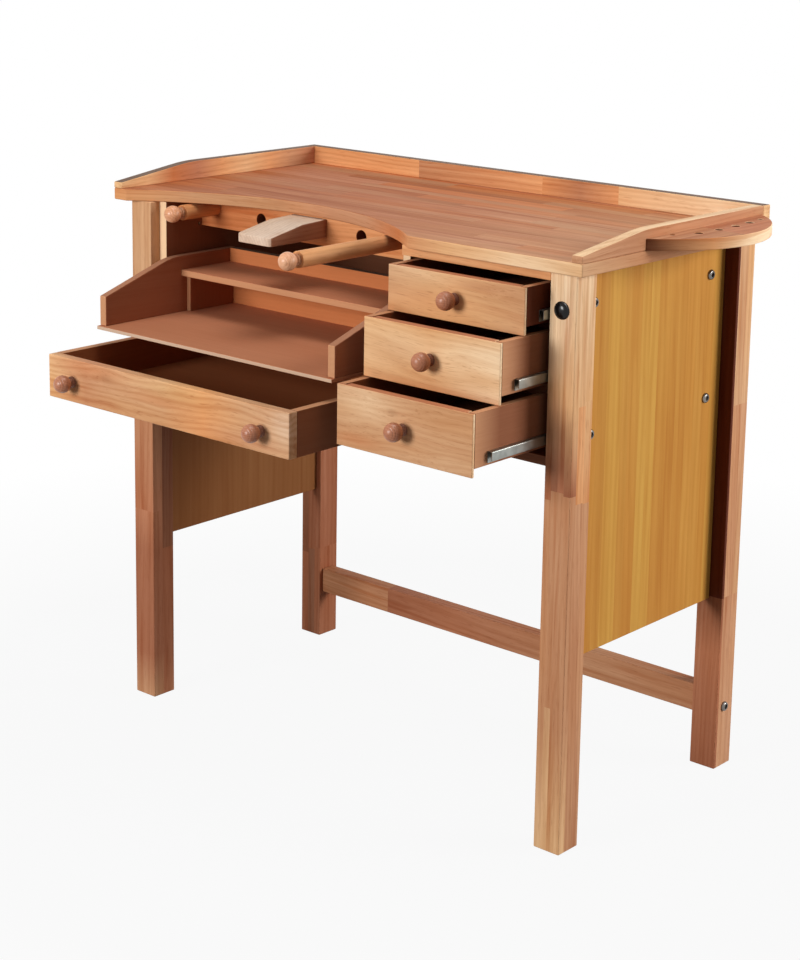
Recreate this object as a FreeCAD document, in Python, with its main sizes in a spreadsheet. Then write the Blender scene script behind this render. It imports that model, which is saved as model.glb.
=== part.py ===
import FreeCAD, Part
import os
import re
import Sketcher

from FreeCAD import Rotation, Vector

# Jeweler's bench: a wooden work table with a scalloped top, a catch tray, four drawers,
# two pull-out armrests, a bench pin and a tool holder on its right side.
# Frame: +Z up, the front faces -Y, X runs to the bench's right-hand side as seen from the
# front. The origin is on the floor, at the centre of the rectangle of the four legs.
# All sizes are millimetres. At rest the drawers, the tray and the armrests stand part way out.

DIMENSIONS = {
    # top board, its rails and the scallop cut out of its front edge
    "top_half": 500,
    "top_front": -259,
    "top_back": 241,
    "top_under": 900,
    "top_over": 920,
    "scallop_x": -150,
    "scallop_y": -642.4,
    "scallop_radius": 499.4,
    "rail_thick": 20,
    "rail_over": 952,
    "rail_nose": 10.5,
    "rail_knee": -99,
    "rail_round": 300,
    # legs, panels and stretcher
    "leg_side": 48,
    "leg_x": 477.5,
    "leg_y": 239,
    "panel_out": 452.5,
    "panel_in": 440.5,
    "panel_under": 295,
    "inside_x": 429.5,
    "inside_back": 185,
    "back_panel_under": 598,
    "stretcher_front": 199,
    "stretcher_back": 227,
    "stretcher_under": 88,
    "stretcher_over": 135,
    # case between the legs
    "case_front": -218.5,
    "divider_left": 128,
    "divider_right": 143,
    "divider_under": 586,
    "inner_panel_face": -412.5,
    "inner_panel_under": 688,
    "case_wall_under": 599.7,
    "spare_hole_y": -164,
    "spare_hole_z": 853,
    "spare_hole_radius": 4.5,
    "spare_hole_deep": 12,
    "case_bottom_over": 613,
    "front_rail_thick": 20,
    "front_rail_under": 884,
    # apron behind the scallop, its bench pin and its peg holes
    "apron_front": -135,
    "apron_back": -105,
    "apron_under": 851,
    "peg_offset": 115,
    "peg_z": 877,
    "peg_radius": 11,
    "pin_x": -151,
    "pin_half": 38,
    "pin_front": -268,
    "pin_knee": -193,
    "pin_under": 866,
    "pin_over": 897,
    "pin_knee_over": 894.5,
    "pin_nose_over": 880,
    "tenon_half": 34,
    "tenon_under": 869,
    "tenon_over": 891,
    "tenon_back": -95,
    "mortise_play": 0.4,
    # armrests: round rods with a turned knob in front
    "rest_left_offset": 227,
    "rest_right_offset": 215,
    "rest_z": 885.1,
    "rest_radius": 13.2,
    "rest_length": 315,
    "rest_left_front": -214,
    "rest_right_front": -388,
    "rest_play": 0.6,
    "guide_half": 22,
    "guide_under": 856,
    "guide_back": -60,
    # turned knobs, on the armrests and the drawers
    "ball_radius": 14.6,
    "ball_reach": 21,
    "neck_foot_radius": 8,
    "neck_radius": 6,
    "neck_length": 12,
    "ring_radius": 6.8,
    "ring_bead": 2.4,
    "ring_reach": 3,
    # catch tray
    "tray_left": -411.5,
    "tray_right": 126.5,
    "tray_under": 702,
    "tray_floor": 708,
    "tray_over": 806,
    "tray_front": -377,
    "tray_side_front": -370,
    "tray_nose_over": 758,
    "tray_knee": -221,
    "tray_round": 120,
    "tray_back": -67,
    "tray_thick": 15,
    "shelf_under": 771,
    "shelf_over": 782,
    "shelf_front": -199,
    "support_front": -186,
    "support_thick": 9,
    "tray_runner_over": 701.6,
    "tray_runner_wide": 15,
    # wide drawer under the tray
    "wide_left": -427.5,
    "wide_right": 126,
    "wide_front": -468,
    "wide_depth": 410,
    "wide_under": 600,
    "wide_over": 672,
    "wide_front_thick": 18,
    "wide_side_thick": 15,
    "wide_floor_under": 609,
    "wide_floor_over": 615,
    "wide_knob_offset": 217.5,
    "wide_knob_z": 634,
    "wide_runner_under": 586,
    "wide_runner_over": 599.7,
    "wide_runner_left": -410,
    "wide_runner_right": 110,
    # three drawers on the right, numbered from the top
    "drawer_left": 155.5,
    "drawer_right": 418.5,
    "drawer_depth": 400,
    "drawer_front_thick": 16,
    "drawer_side_thick": 12,
    "drawer_lip": 5,
    "drawer_rebate": 15,
    "drawer_side_lift": 13,
    "drawer_floor_lift": 17,
    "drawer_floor_thick": 5,
    "front_one": -284,
    "front_two": -337.6,
    "front_three": -396,
    "under_one": 806.5,
    "under_two": 712.5,
    "under_three": 616.5,
    "over_one": 878,
    "over_two": 805,
    "over_three": 711,
    # steel slides: a channel on the drawer over a blade on the case
    "slide_lift": 16.5,
    "slide_tall": 18,
    "slide_wide": 9,
    "slide_sheet": 1.2,
    "slide_lip": 14,
    "slide_start": 34,
    "blade_lift": 1,
    "blade_tall": 14,
    "blade_out": 4.6,
    "blade_front": -215,
    "blade_back": 161,
    # fasteners
    "bolt_head_radius": 8.25,
    "bolt_head_tall": 4.5,
    "bolt_socket_radius": 4.2,
    "bolt_socket_deep": 3,
    "bolt_radius": 3,
    "bolt_play": 0.2,
    "panel_bolt_long": 21,
    "bolt_tip_play": 1,
    "panel_bolt_front": -162,
    "panel_bolt_back": 150,
    "panel_bolt_high": 844,
    "panel_bolt_low": 643,
    "stretcher_bolt_long": 72,
    "stretcher_bolt_y": 213,
    "stretcher_bolt_z": 106,
    "cap_x": 451.6,
    "cap_z": 843,
    "cap_radius": 13.5,
    "cap_tall": 6,
    "cap_dome": 4.5,
    "cap_stem_radius": 4,
    "cap_stem_long": 14,
    # tool holder on the right rail
    "holder_over": 938,
    "holder_front": -103,
    "holder_back": 217,
    "holder_centre_x": 387,
    "holder_centre_y": 57,
    "holder_radius": 196,
    "tool_hole_radius": 6.5,
    "tool_hole_small": 4,
    "hole_one_x": 507, "hole_one_y": -45,
    "hole_two_x": 526, "hole_two_y": -3,
    "hole_three_x": 530, "hole_three_y": 46,
    "hole_four_x": 530, "hole_four_y": 93,
    "hole_five_x": 527, "hole_five_y": 137,
    "hole_six_x": 522, "hole_six_y": 177,
    "screw_radius": 2,
    "screw_head_radius": 4,
    "screw_head_tall": 2.5,
    "screw_long": 36,
    "screw_spacing": 87,
    "screw_z": 929,
    # how far the waste of a hole or a notch runs past the face it leaves by
    "overrun": 2,
}

# Radii of the tool holder's holes, numbered from the front to the back.
TOOL_HOLES = {
    "one": "tool_hole_small",
    "two": "tool_hole_radius",
    "three": "tool_hole_radius",
    "four": "tool_hole_radius",
    "five": "tool_hole_radius",
    "six": "tool_hole_small",
}
HOLDER_SCREWS = ("holder_centre_y - screw_spacing", "holder_centre_y", "holder_centre_y + screw_spacing")

DRAWERS = ("one", "two", "three")

# A cylinder's own axis is Z; these turn it along each axis of the frame.
ALONG = {
    "x": Rotation(Vector(0, 1, 0), 90),
    "-x": Rotation(Vector(0, 1, 0), -90),
    "y": Rotation(Vector(1, 0, 0), -90),
    "-y": Rotation(Vector(1, 0, 0), 90),
    "z": Rotation(),
}

DOC = FreeCAD.newDocument("JewelersBench")
WORD = re.compile(r"[a-z][a-z_]*")
# Two places nearer than this, in millimetres, are the same place.
NEAR = 1
KEPT = []


def make_sheet():
    """Write the driving dimensions into the spreadsheet, each under its own alias."""
    sheet = DOC.addObject("Spreadsheet::Sheet", "dims")
    for row, (alias, value) in enumerate(DIMENSIONS.items(), start=1):
        sheet.set(f"A{row}", alias)
        sheet.set(f"B{row}", str(value))
        sheet.setAlias(f"B{row}", alias)
    DOC.recompute()
    return sheet


SHEET = make_sheet()


def bound(text):
    """Return an expression with every alias in it written as a reference to the sheet."""
    return WORD.sub(lambda word: f"{SHEET.Name}.{word.group()}", text)


def amount(text):
    """Return the present value of an expression as a number."""
    return float(SHEET.evalExpression(bound(text)))


def add(kind, label, **sizes):
    """Add an object, with each size in sizes bound to the sheet."""
    thing = DOC.addObject(kind, label)
    thing.Label = label
    for size, text in sizes.items():
        thing.setExpression(size, bound(text))
    return thing


def place(thing, x, y, z, along="z"):
    """Turn an object along an axis and bind its position to the sheet."""
    thing.Placement = FreeCAD.Placement(Vector(), ALONG[along])
    for axis, text in (("x", x), ("y", y), ("z", z)):
        thing.setExpression(f"Placement.Base.{axis}", bound(text))
    return thing


def keep(thing):
    """Note a finished sub-part; its label names its file."""
    KEPT.append(thing)
    return thing


def block(label, x, y, z):
    """Return a rectangular solid; x, y and z are each a low and a high expression."""
    spans = {}
    for size, (low, high) in zip(("Length", "Width", "Height"), (x, y, z)):
        spans[size] = f"({high}) - ({low})"
    return place(add("Part::Box", label, **spans), x[0], y[0], z[0])


def rod(label, at, along, radius, length):
    """Return a round solid that starts at a point and runs along an axis."""
    return place(add("Part::Cylinder", label, Radius=radius, Height=length), *at, along)


def cut(label, base, tools):
    """Return base with all the tools taken away from it."""
    tool = tools[0]
    if len(tools) > 1:
        tool = add("Part::MultiFuse", f"{label}_waste")
        tool.Shapes = tools
    result = add("Part::Cut", label)
    result.Base = base
    result.Tool = tool
    return result


def fuse(label, pieces):
    """Return one solid made of the pieces."""
    result = add("Part::MultiFuse", label)
    result.Shapes = pieces
    return result


def group(label, pieces):
    """Return one sub-part that holds several separate solids."""
    result = add("Part::Compound", label)
    result.Links = pieces
    return result


def outline_on(body, plane, corners, domes=()):
    """Sketch a closed outline on one of a body's origin planes.

    plane is the role of an origin plane and corners are pairs of expressions in the
    sketch's own axes. domes maps a corner's number to the radius of the arc, bulging to the
    left of its run, that leaves the corner in place of a straight line.
    """
    sketch = body.newObject("Sketcher::SketchObject", f"{body.Label}_outline")
    support = next(feature for feature in body.Origin.OriginFeatures if feature.Role == plane)
    sketch.AttachmentSupport = (support, [""])
    sketch.MapMode = "FlatFace"
    points = [Vector(amount(across), amount(up), 0) for across, up in corners]
    for index, point in enumerate(points):
        following = points[(index + 1) % len(points)]
        if index in domes:
            run = following - point
            radius = amount(domes[index])
            rise = radius - (radius ** 2 - run.Length ** 2 / 4) ** 0.5
            crown = (point + following) * 0.5 + Vector(-run.y, run.x, 0).normalize() * rise
            sketch.addGeometry(Part.Arc(point, crown, following))
        else:
            sketch.addGeometry(Part.LineSegment(point, following))
    # An arc runs counter-clockwise, so one that bulges to the left starts at its far end.
    starts = [2 if index in domes else 1 for index in range(len(corners))]
    for index, (across, up) in enumerate(corners):
        following = (index + 1) % len(corners)
        sketch.addConstraint(Sketcher.Constraint("Coincident", index, 3 - starts[index], following,
                                                 starts[following]))
        for kind, text in (("DistanceX", across), ("DistanceY", up)):
            rule = sketch.addConstraint(Sketcher.Constraint(kind, -1, 1, index, starts[index], amount(text)))
            sketch.setExpression(f"Constraints[{rule}]", bound(text))
    for index, radius in dict(domes).items():
        rule = sketch.addConstraint(Sketcher.Constraint("Radius", index, amount(radius)))
        sketch.setExpression(f"Constraints[{rule}]", bound(radius))
    return sketch


def prism(label, plane, corners, start, depth):
    """Return a body padded from a sketched outline.

    start is the outline's distance along the plane's normal, and depth is how far the pad
    goes on from there.
    """
    body = add("PartDesign::Body", label)
    sketch = outline_on(body, plane, corners)
    sketch.setExpression("AttachmentOffset.Base.z", bound(start))
    pad = body.newObject("PartDesign::Pad", f"{label}_pad")
    pad.Profile = sketch
    pad.setExpression("Length", bound(depth))
    DOC.recompute()
    return body


def turned(label, corners, domes, at):
    """Return a body turned about its own Y axis from a half profile, and put at a place."""
    body = add("PartDesign::Body", label)
    sketch = outline_on(body, "XY_Plane", corners, domes)
    turn = body.newObject("PartDesign::Revolution", f"{label}_turn")
    turn.Profile = sketch
    turn.ReferenceAxis = (sketch, ["V_Axis"])
    turn.Angle = 360
    DOC.recompute()
    return place(body, *at)


def round_knee(body, knee, radius):
    """Round the edge that crosses a body's top at the knee, in y."""
    top = body.Shape.BoundBox.ZMax
    at = amount(knee)
    names = []
    for index, edge in enumerate(body.Shape.Edges, start=1):
        middle = edge.CenterOfMass
        if abs(middle.y - at) < NEAR and abs(middle.z - top) < NEAR:
            names.append(f"Edge{index}")
    pad = body.Tip
    fillet = body.newObject("PartDesign::Fillet", f"{body.Label}_knee")
    fillet.Base = (pad, names)
    fillet.setExpression("Radius", bound(radius))
    body.Tip = fillet
    DOC.recompute()
    return body


def bolt(label, at, along, length):
    """Return a bolt whose head stands on a face and whose shank runs along an axis."""
    away = along[1:] if along.startswith("-") else f"-{along}"
    head = rod(f"{label}_head", at, away, "bolt_head_radius", "bolt_head_tall")
    shank = rod(f"{label}_shank", at, along, "bolt_radius", length)
    sign = "-" if along == "x" else "+"
    mouth = (f"{at[0]} {sign} bolt_head_tall", at[1], at[2])
    socket = rod(f"{label}_socket", mouth, along, "bolt_socket_radius", "bolt_socket_deep")
    return cut(label, fuse(f"{label}_blank", [head, shank]), [socket])


def bolt_hole(label, at, along, length):
    """Return the waste of the clearance hole for a bolt's shank."""
    return rod(label, at, along, "bolt_radius + bolt_play", length)


def knob_pieces(label, x, face_y, z):
    """Return the turned neck, ring and ball of a knob that stands out of a front face."""
    neck = add("Part::Cone", f"{label}_neck", Radius1="neck_foot_radius", Radius2="neck_radius",
               Height="neck_length")
    ring = add("Part::Torus", f"{label}_ring", Radius1="ring_radius", Radius2="ring_bead")
    ball = add("Part::Sphere", f"{label}_ball", Radius="ball_radius")
    place(neck, x, face_y, z, "-y")
    place(ring, x, f"{face_y} - ring_reach", z, "-y")
    place(ball, x, f"{face_y} - ball_reach", z)
    return [neck, ring, ball]


def make_top():
    """Top board with its scallop, and the rails round its back and sides."""
    slab = block("top_slab", ("-top_half", "top_half"), ("top_front", "top_back"), ("top_under", "top_over"))
    scallop = rod("scallop_waste", ("scallop_x", "scallop_y", "top_under - overrun"), "z", "scallop_radius",
                  "top_over - top_under + 2 * overrun")
    keep(cut("bench_top", slab, [scallop]))
    keep(block("back_rail", ("-top_half", "top_half"), ("top_back - rail_thick", "top_back"),
               ("top_over", "rail_over")))
    outline = (
        ("top_front", "top_over"),
        ("top_back - rail_thick", "top_over"),
        ("top_back - rail_thick", "rail_over"),
        ("rail_knee", "rail_over"),
        ("top_front", "top_over + rail_nose"),
    )
    left = prism("left_rail", "YZ_Plane", outline, "-top_half", "rail_thick")
    keep(round_knee(left, "rail_knee", "rail_round"))
    right = prism("right_rail_blank", "YZ_Plane", outline, "top_half - rail_thick", "rail_thick")
    round_knee(right, "rail_knee", "rail_round")
    holes = []
    for index, y in enumerate(HOLDER_SCREWS):
        inside = ("top_half - rail_thick - overrun", y, "screw_z")
        holes.append(rod(f"rail_screw_hole_{index}", inside, "x", "screw_radius + bolt_play",
                         "rail_thick + 2 * overrun"))
    keep(cut("right_rail", right, holes))


def make_legs():
    """Four square legs, with the holes for the stretcher's bolts and for the cap's stem."""
    for side, low_x in (("left", "-leg_x"), ("right", "leg_x - leg_side")):
        for end, low_y in (("front", "-leg_y"), ("rear", "leg_y - leg_side")):
            label = f"leg_{end}_{side}"
            spans = ((low_x, f"{low_x} + leg_side"), (low_y, f"{low_y} + leg_side"), ("0", "top_under"))
            if label == "leg_front_left":
                keep(block(label, *spans))
                continue
            stock = block(f"{label}_stock", *spans)
            if end == "rear":
                outside = (f"{low_x} - overrun", "stretcher_bolt_y", "stretcher_bolt_z")
                hole = bolt_hole(f"{label}_hole", outside, "x", "leg_side + 2 * overrun")
            else:
                outside = ("cap_x", "-leg_y - overrun", "cap_z")
                hole = rod("cap_hole", outside, "y", "cap_stem_radius + bolt_play",
                           "cap_stem_long + 2 * overrun")
            keep(cut(label, stock, [hole]))


def make_leg_cap():
    """Domed plastic cap that covers a screw on the front of the right-hand front leg."""
    profile = (
        ("0", "cap_stem_long"),
        ("0", "-cap_tall"),
        ("cap_radius", "cap_dome - cap_tall"),
        ("cap_radius", "0"),
        ("cap_stem_radius", "0"),
        ("cap_stem_radius", "cap_stem_long"),
    )
    crown = "(cap_radius * cap_radius + cap_dome * cap_dome) / (2 * cap_dome)"
    keep(turned("leg_cap", profile, {1: crown}, ("cap_x", "-leg_y", "cap_z")))


def make_panels():
    """Side panels, back panel, rear stretcher, and the bolts that hold them."""
    bolt_points = [(y, z) for y in ("panel_bolt_front", "panel_bolt_back")
                   for z in ("panel_bolt_low", "panel_bolt_high")]
    bolts = []
    for side, sign, along in (("left", "-", "x"), ("right", "", "-x")):
        outer = f"{sign}panel_out"
        low, high = (f"{sign}panel_out", f"{sign}panel_in") if side == "left" else ("panel_in", "panel_out")
        board = block(f"side_panel_{side}_board", (low, high), ("leg_side - leg_y", "leg_y - leg_side"),
                      ("panel_under", "top_under"))
        holes = []
        for index, (y, z) in enumerate(bolt_points):
            holes.append(bolt_hole(f"panel_hole_{side}_{index}", (low, y, z), "x", "panel_out - panel_in"))
            bolts.append(bolt(f"panel_bolt_{side}_{index}", (outer, y, z), along, "panel_bolt_long"))
        keep(cut(f"side_panel_{side}", board, holes))
        wall_x = ("-panel_in", "-inside_x") if side == "left" else ("inside_x", "panel_in")
        wall = block(f"case_wall_{side}_board", wall_x, ("leg_side - leg_y", "inside_back"),
                     ("case_wall_under", "top_under"))
        deep = "panel_bolt_long - panel_out + panel_in + bolt_tip_play"
        start = "-panel_in" if side == "left" else "panel_in"
        pockets = [bolt_hole(f"case_wall_hole_{side}_{index}", (start, y, z), along, deep)
                   for index, (y, z) in enumerate(bolt_points)]
        keep(cut(f"case_wall_{side}", wall, pockets))
    keep(group("panel_bolts", bolts))
    keep(block("back_panel", ("-panel_in", "panel_in"), ("inside_back", "leg_y - leg_side"),
               ("back_panel_under", "top_under")))

    beam = block("stretcher_beam", ("-inside_x", "inside_x"), ("stretcher_front", "stretcher_back"),
                 ("stretcher_under", "stretcher_over"))
    long_bolts = []
    ends = []
    spot = ("stretcher_bolt_y", "stretcher_bolt_z")
    for side, outer, end, along in (("left", "-leg_x", "-inside_x", "x"),
                                    ("right", "leg_x", "inside_x", "-x")):
        long_bolts.append(bolt(f"stretcher_bolt_{side}", (outer, *spot), along, "stretcher_bolt_long"))
        ends.append(bolt_hole(f"stretcher_hole_{side}", (end, *spot), along,
                              "stretcher_bolt_long - leg_side + bolt_tip_play"))
    keep(cut("rear_stretcher", beam, ends))
    keep(group("stretcher_bolts", long_bolts))


def make_case():
    """Inner panel, divider, case bottom and front rail that the drawers and tray run in."""
    panel = block("inner_panel_board", ("-inside_x", "inner_panel_face"), ("case_front", "inside_back"),
                  ("inner_panel_under", "top_under"))
    spare = rod("spare_hole", ("inner_panel_face - spare_hole_deep", "spare_hole_y", "spare_hole_z"), "x",
                "spare_hole_radius", "spare_hole_deep + overrun")
    keep(cut("left_inner_panel", panel, [spare]))
    keep(block("centre_divider", ("divider_left", "divider_right"), ("case_front", "inside_back"),
               ("divider_under", "top_under")))
    keep(block("case_bottom", ("divider_right", "inside_x"), ("case_front", "inside_back"),
               ("back_panel_under", "case_bottom_over")))
    keep(block("front_rail", ("divider_right", "inside_x"), ("-leg_y", "-leg_y + front_rail_thick"),
               ("front_rail_under", "top_under")))


def rest_notch(label, x, front, back):
    """Return the waste of a notch for an armrest: round below, and open at the top."""
    length = f"({back}) - ({front})"
    bed = rod(f"{label}_bed", (x, front, "rest_z"), "y", "rest_radius + rest_play", length)
    mouth = block(f"{label}_mouth", (f"{x} - rest_radius - rest_play", f"{x} + rest_radius + rest_play"),
                  (front, back), ("rest_z", "top_under + overrun"))
    return fuse(label, [bed, mouth])


def make_apron():
    """Apron behind the scallop, with its pin, and the guides of the armrests."""
    board = block("apron_board", ("inner_panel_face", "divider_left"), ("apron_front", "apron_back"),
                  ("apron_under", "top_under"))
    before, after = "apron_front - overrun", "apron_back + overrun"
    waste = [block("mortise", ("pin_x - tenon_half - mortise_play", "pin_x + tenon_half + mortise_play"),
                   (before, after), ("tenon_under - mortise_play", "tenon_over + mortise_play"))]
    guides = []
    for side, sign in (("left", "-"), ("right", "+")):
        waste.append(rod(f"peg_hole_{side}", (f"pin_x {sign} peg_offset", before, "peg_z"), "y", "peg_radius",
                         "apron_back - apron_front + 2 * overrun"))
        x = f"pin_x {sign} rest_{side}_offset"
        waste.append(rest_notch(f"rest_notch_{side}", x, before, after))
        stock = block(f"guide_{side}_stock", (f"{x} - guide_half", f"{x} + guide_half"),
                      ("apron_back", "guide_back"), ("guide_under", "top_under"))
        groove = rest_notch(f"guide_{side}_groove", x, "apron_back - overrun", "guide_back + overrun")
        guides.append(cut(f"guide_{side}", stock, [groove]))
    keep(cut("pin_apron", board, waste))
    keep(group("armrest_guides", guides))

    outline = (
        ("pin_front", "pin_under"),
        ("apron_front", "pin_under"),
        ("apron_front", "pin_over"),
        ("pin_knee", "pin_knee_over"),
        ("pin_front", "pin_nose_over"),
    )
    wedge = prism("pin_wedge", "YZ_Plane", outline, "pin_x - pin_half", "2 * pin_half")
    tenon = block("pin_tenon", ("pin_x - tenon_half", "pin_x + tenon_half"), (before, "tenon_back"),
                  ("tenon_under", "tenon_over"))
    keep(fuse("bench_pin", [wedge, tenon]))


def make_armrest(side, sign):
    """One armrest: a round rod with a turned knob on its front end."""
    x = f"pin_x {sign} rest_{side}_offset"
    front = f"rest_{side}_front"
    shaft = rod(f"armrest_{side}_shaft", (x, front, "rest_z"), "y", "rest_radius", "rest_length")
    keep(fuse(f"armrest_{side}", [shaft, *knob_pieces(f"armrest_{side}_knob", x, front, "rest_z")]))


def make_tray():
    """Catch tray with its shelf, and the runners that it slides on."""
    inner = ("tray_left + tray_thick", "tray_right - tray_thick")
    keep(block("tray_bottom", ("tray_left", "tray_right"), ("tray_front", "tray_back"),
               ("tray_under", "tray_floor")))
    outline = (
        ("tray_side_front", "tray_floor"),
        ("tray_back", "tray_floor"),
        ("tray_back", "tray_over"),
        ("tray_knee", "tray_over"),
        ("tray_side_front", "tray_nose_over"),
    )
    sides = []
    for side, start in (("left", "tray_left"), ("right", "tray_right - tray_thick")):
        body = prism(f"tray_side_{side}", "YZ_Plane", outline, start, "tray_thick")
        sides.append(round_knee(body, "tray_knee", "tray_round"))
    keep(group("tray_sides", sides))
    keep(block("tray_backboard", inner, ("tray_back - tray_thick", "tray_back"), ("tray_floor", "tray_over")))
    keep(block("tray_shelf", inner, ("shelf_front", "tray_back - tray_thick"), ("shelf_under", "shelf_over")))
    supports = []
    for side, x in (("left", (inner[0], f"{inner[0]} + support_thick")),
                    ("right", (f"{inner[1]} - support_thick", inner[1]))):
        supports.append(block(f"shelf_support_{side}", x, ("support_front", "tray_back - tray_thick"),
                              ("tray_floor", "shelf_under")))
    keep(group("shelf_supports", supports))
    runners = []
    for side, x in (("left", ("inner_panel_face", "inner_panel_face + tray_runner_wide")),
                    ("right", ("divider_left - tray_runner_wide", "divider_left"))):
        runners.append(block(f"tray_runner_{side}", x, ("case_front", "inside_back"),
                             ("inner_panel_under", "tray_runner_over")))
    keep(group("tray_runners", runners))


def make_wide_drawer():
    """Wide drawer under the tray, with two knobs, and its runners."""
    back = "wide_front + wide_depth"
    inner = ("wide_left + wide_side_thick", "wide_right - wide_side_thick")
    behind = "wide_front + wide_front_thick"
    keep(block("wide_drawer_front", ("wide_left", "wide_right"), ("wide_front", behind),
               ("wide_under", "wide_over")))
    sides = [
        block("wide_side_left", ("wide_left", inner[0]), (behind, back), ("wide_under", "wide_over")),
        block("wide_side_right", (inner[1], "wide_right"), (behind, back), ("wide_under", "wide_over")),
    ]
    keep(group("wide_drawer_sides", sides))
    keep(block("wide_drawer_back", inner, (f"{back} - wide_side_thick", back), ("wide_under", "wide_over")))
    keep(block("wide_drawer_bottom", inner, (behind, f"{back} - wide_side_thick"),
               ("wide_floor_under", "wide_floor_over")))
    middle = "(wide_left + wide_right) / 2"
    knobs = [fuse(f"wide_knob_{side}", knob_pieces(f"wide_knob_{side}", f"{middle} {sign} wide_knob_offset",
                                                   "wide_front", "wide_knob_z"))
             for side, sign in (("left", "-"), ("right", "+"))]
    keep(group("wide_drawer_knobs", knobs))
    runners = [
        block("wide_runner_left", ("-panel_in", "wide_runner_left"), ("leg_side - leg_y", "inside_back"),
              ("wide_runner_under", "wide_runner_over")),
        block("wide_runner_right", ("wide_runner_right", "divider_left"), ("case_front", "inside_back"),
              ("wide_runner_under", "wide_runner_over")),
    ]
    keep(group("wide_drawer_runners", runners))


def channel(label, side, under, start, end):
    """Return a sheet-steel channel, open below, on the outer face of a drawer's side."""
    face, outward, inward = ("drawer_left", "-", "+") if side == "left" else ("drawer_right", "+", "-")
    over = f"{under} + slide_tall"
    rim = f"{face} {outward} slide_wide"
    outline = (
        (face, under),
        (face, over),
        (rim, over),
        (rim, f"{over} - slide_lip"),
        (f"{rim} {inward} slide_sheet", f"{over} - slide_lip"),
        (f"{rim} {inward} slide_sheet", f"{over} - slide_sheet"),
        (f"{face} {outward} slide_sheet", f"{over} - slide_sheet"),
        (f"{face} {outward} slide_sheet", under),
    )
    return prism(label, "XZ_Plane", outline, f"-({end})", f"({end}) - ({start})")


def blade(label, side, under):
    """Return the case's half of a slide: a foot on the wall and a blade inside the channel."""
    if side == "left":
        wall, far, near = "divider_right", "drawer_left - blade_out", "drawer_left - blade_out + slide_sheet"
    else:
        wall, far, near = "inside_x", "drawer_right + blade_out", "drawer_right + blade_out - slide_sheet"
    foot = f"{under} + blade_lift"
    outline = (
        (wall, foot),
        (wall, f"{foot} + slide_sheet"),
        (far, f"{foot} + slide_sheet"),
        (far, f"{foot} + blade_tall"),
        (near, f"{foot} + blade_tall"),
        (near, foot),
    )
    return prism(label, "XZ_Plane", outline, "-blade_back", "blade_back - blade_front")


def make_drawer(name, number):
    """One of the three drawers: front, sides, back, bottom, knob and slide channels."""
    front, under, over = f"front_{name}", f"under_{name}", f"over_{name}"
    back = f"{front} + drawer_depth"
    behind = f"{front} + drawer_front_thick"
    inner = ("drawer_left + drawer_side_thick", "drawer_right - drawer_side_thick")
    label = f"drawer_{number}"
    rebate = ("drawer_left + drawer_rebate", "drawer_right - drawer_rebate")
    outline = (
        ("drawer_left", front),
        ("drawer_right", front),
        ("drawer_right", f"{front} + drawer_lip"),
        (rebate[1], f"{front} + drawer_lip"),
        (rebate[1], behind),
        (rebate[0], behind),
        (rebate[0], f"{front} + drawer_lip"),
        ("drawer_left", f"{front} + drawer_lip"),
    )
    keep(prism(f"{label}_front", "XY_Plane", outline, under, f"{over} - {under}"))
    side_z = (f"{under} + drawer_side_lift", over)
    sides = [
        block(f"{label}_side_left", ("drawer_left", inner[0]), (f"{front} + drawer_lip", back), side_z),
        block(f"{label}_side_right", (inner[1], "drawer_right"), (f"{front} + drawer_lip", back), side_z),
    ]
    keep(group(f"{label}_sides", sides))
    floor = f"{under} + drawer_floor_lift"
    keep(block(f"{label}_back", inner, (f"{back} - drawer_side_thick", back), side_z))
    keep(block(f"{label}_bottom", inner, (behind, f"{back} - drawer_side_thick"),
               (floor, f"{floor} + drawer_floor_thick")))
    keep(fuse(f"{label}_knob", knob_pieces(f"{label}_knob", "(drawer_left + drawer_right) / 2", front,
                                           f"({under} + {over}) / 2")))
    level = f"{under} + slide_lift"
    channels = [channel(f"{label}_channel_{side}", side, level, f"{front} + slide_start", back)
                for side in ("left", "right")]
    keep(group(f"{label}_slides", channels))
    return [blade(f"{label}_blade_{side}", side, level) for side in ("left", "right")]


def make_tool_holder():
    """Half-round tool holder on the right rail, with its row of holes and its screws."""
    plank = block("holder_plank", ("top_half", "holder_centre_x + holder_radius"),
                  ("holder_front", "holder_back"), ("top_over", "holder_over"))
    disc = rod("holder_disc", ("holder_centre_x", "holder_centre_y", "top_over"), "z", "holder_radius",
               "holder_over - top_over")
    segment = add("Part::Common", "holder_segment")
    segment.Base = plank
    segment.Tool = disc
    waste = [rod(f"tool_hole_{name}", (f"hole_{name}_x", f"hole_{name}_y", "top_over - overrun"), "z", radius,
                 "holder_over - top_over + 2 * overrun") for name, radius in TOOL_HOLES.items()]
    screws = []
    for index, y in enumerate(HOLDER_SCREWS):
        at = ("top_half - rail_thick", y, "screw_z")
        waste.append(rod(f"holder_screw_hole_{index}", at, "x", "screw_radius + bolt_play",
                         "screw_long + bolt_tip_play"))
        head = rod(f"holder_screw_head_{index}", at, "-x", "screw_head_radius", "screw_head_tall")
        shank = rod(f"holder_screw_shank_{index}", at, "x", "screw_radius", "screw_long")
        screws.append(fuse(f"holder_screw_{index}", [head, shank]))
    keep(cut("tool_holder", segment, waste))
    keep(group("tool_holder_screws", screws))


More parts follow.
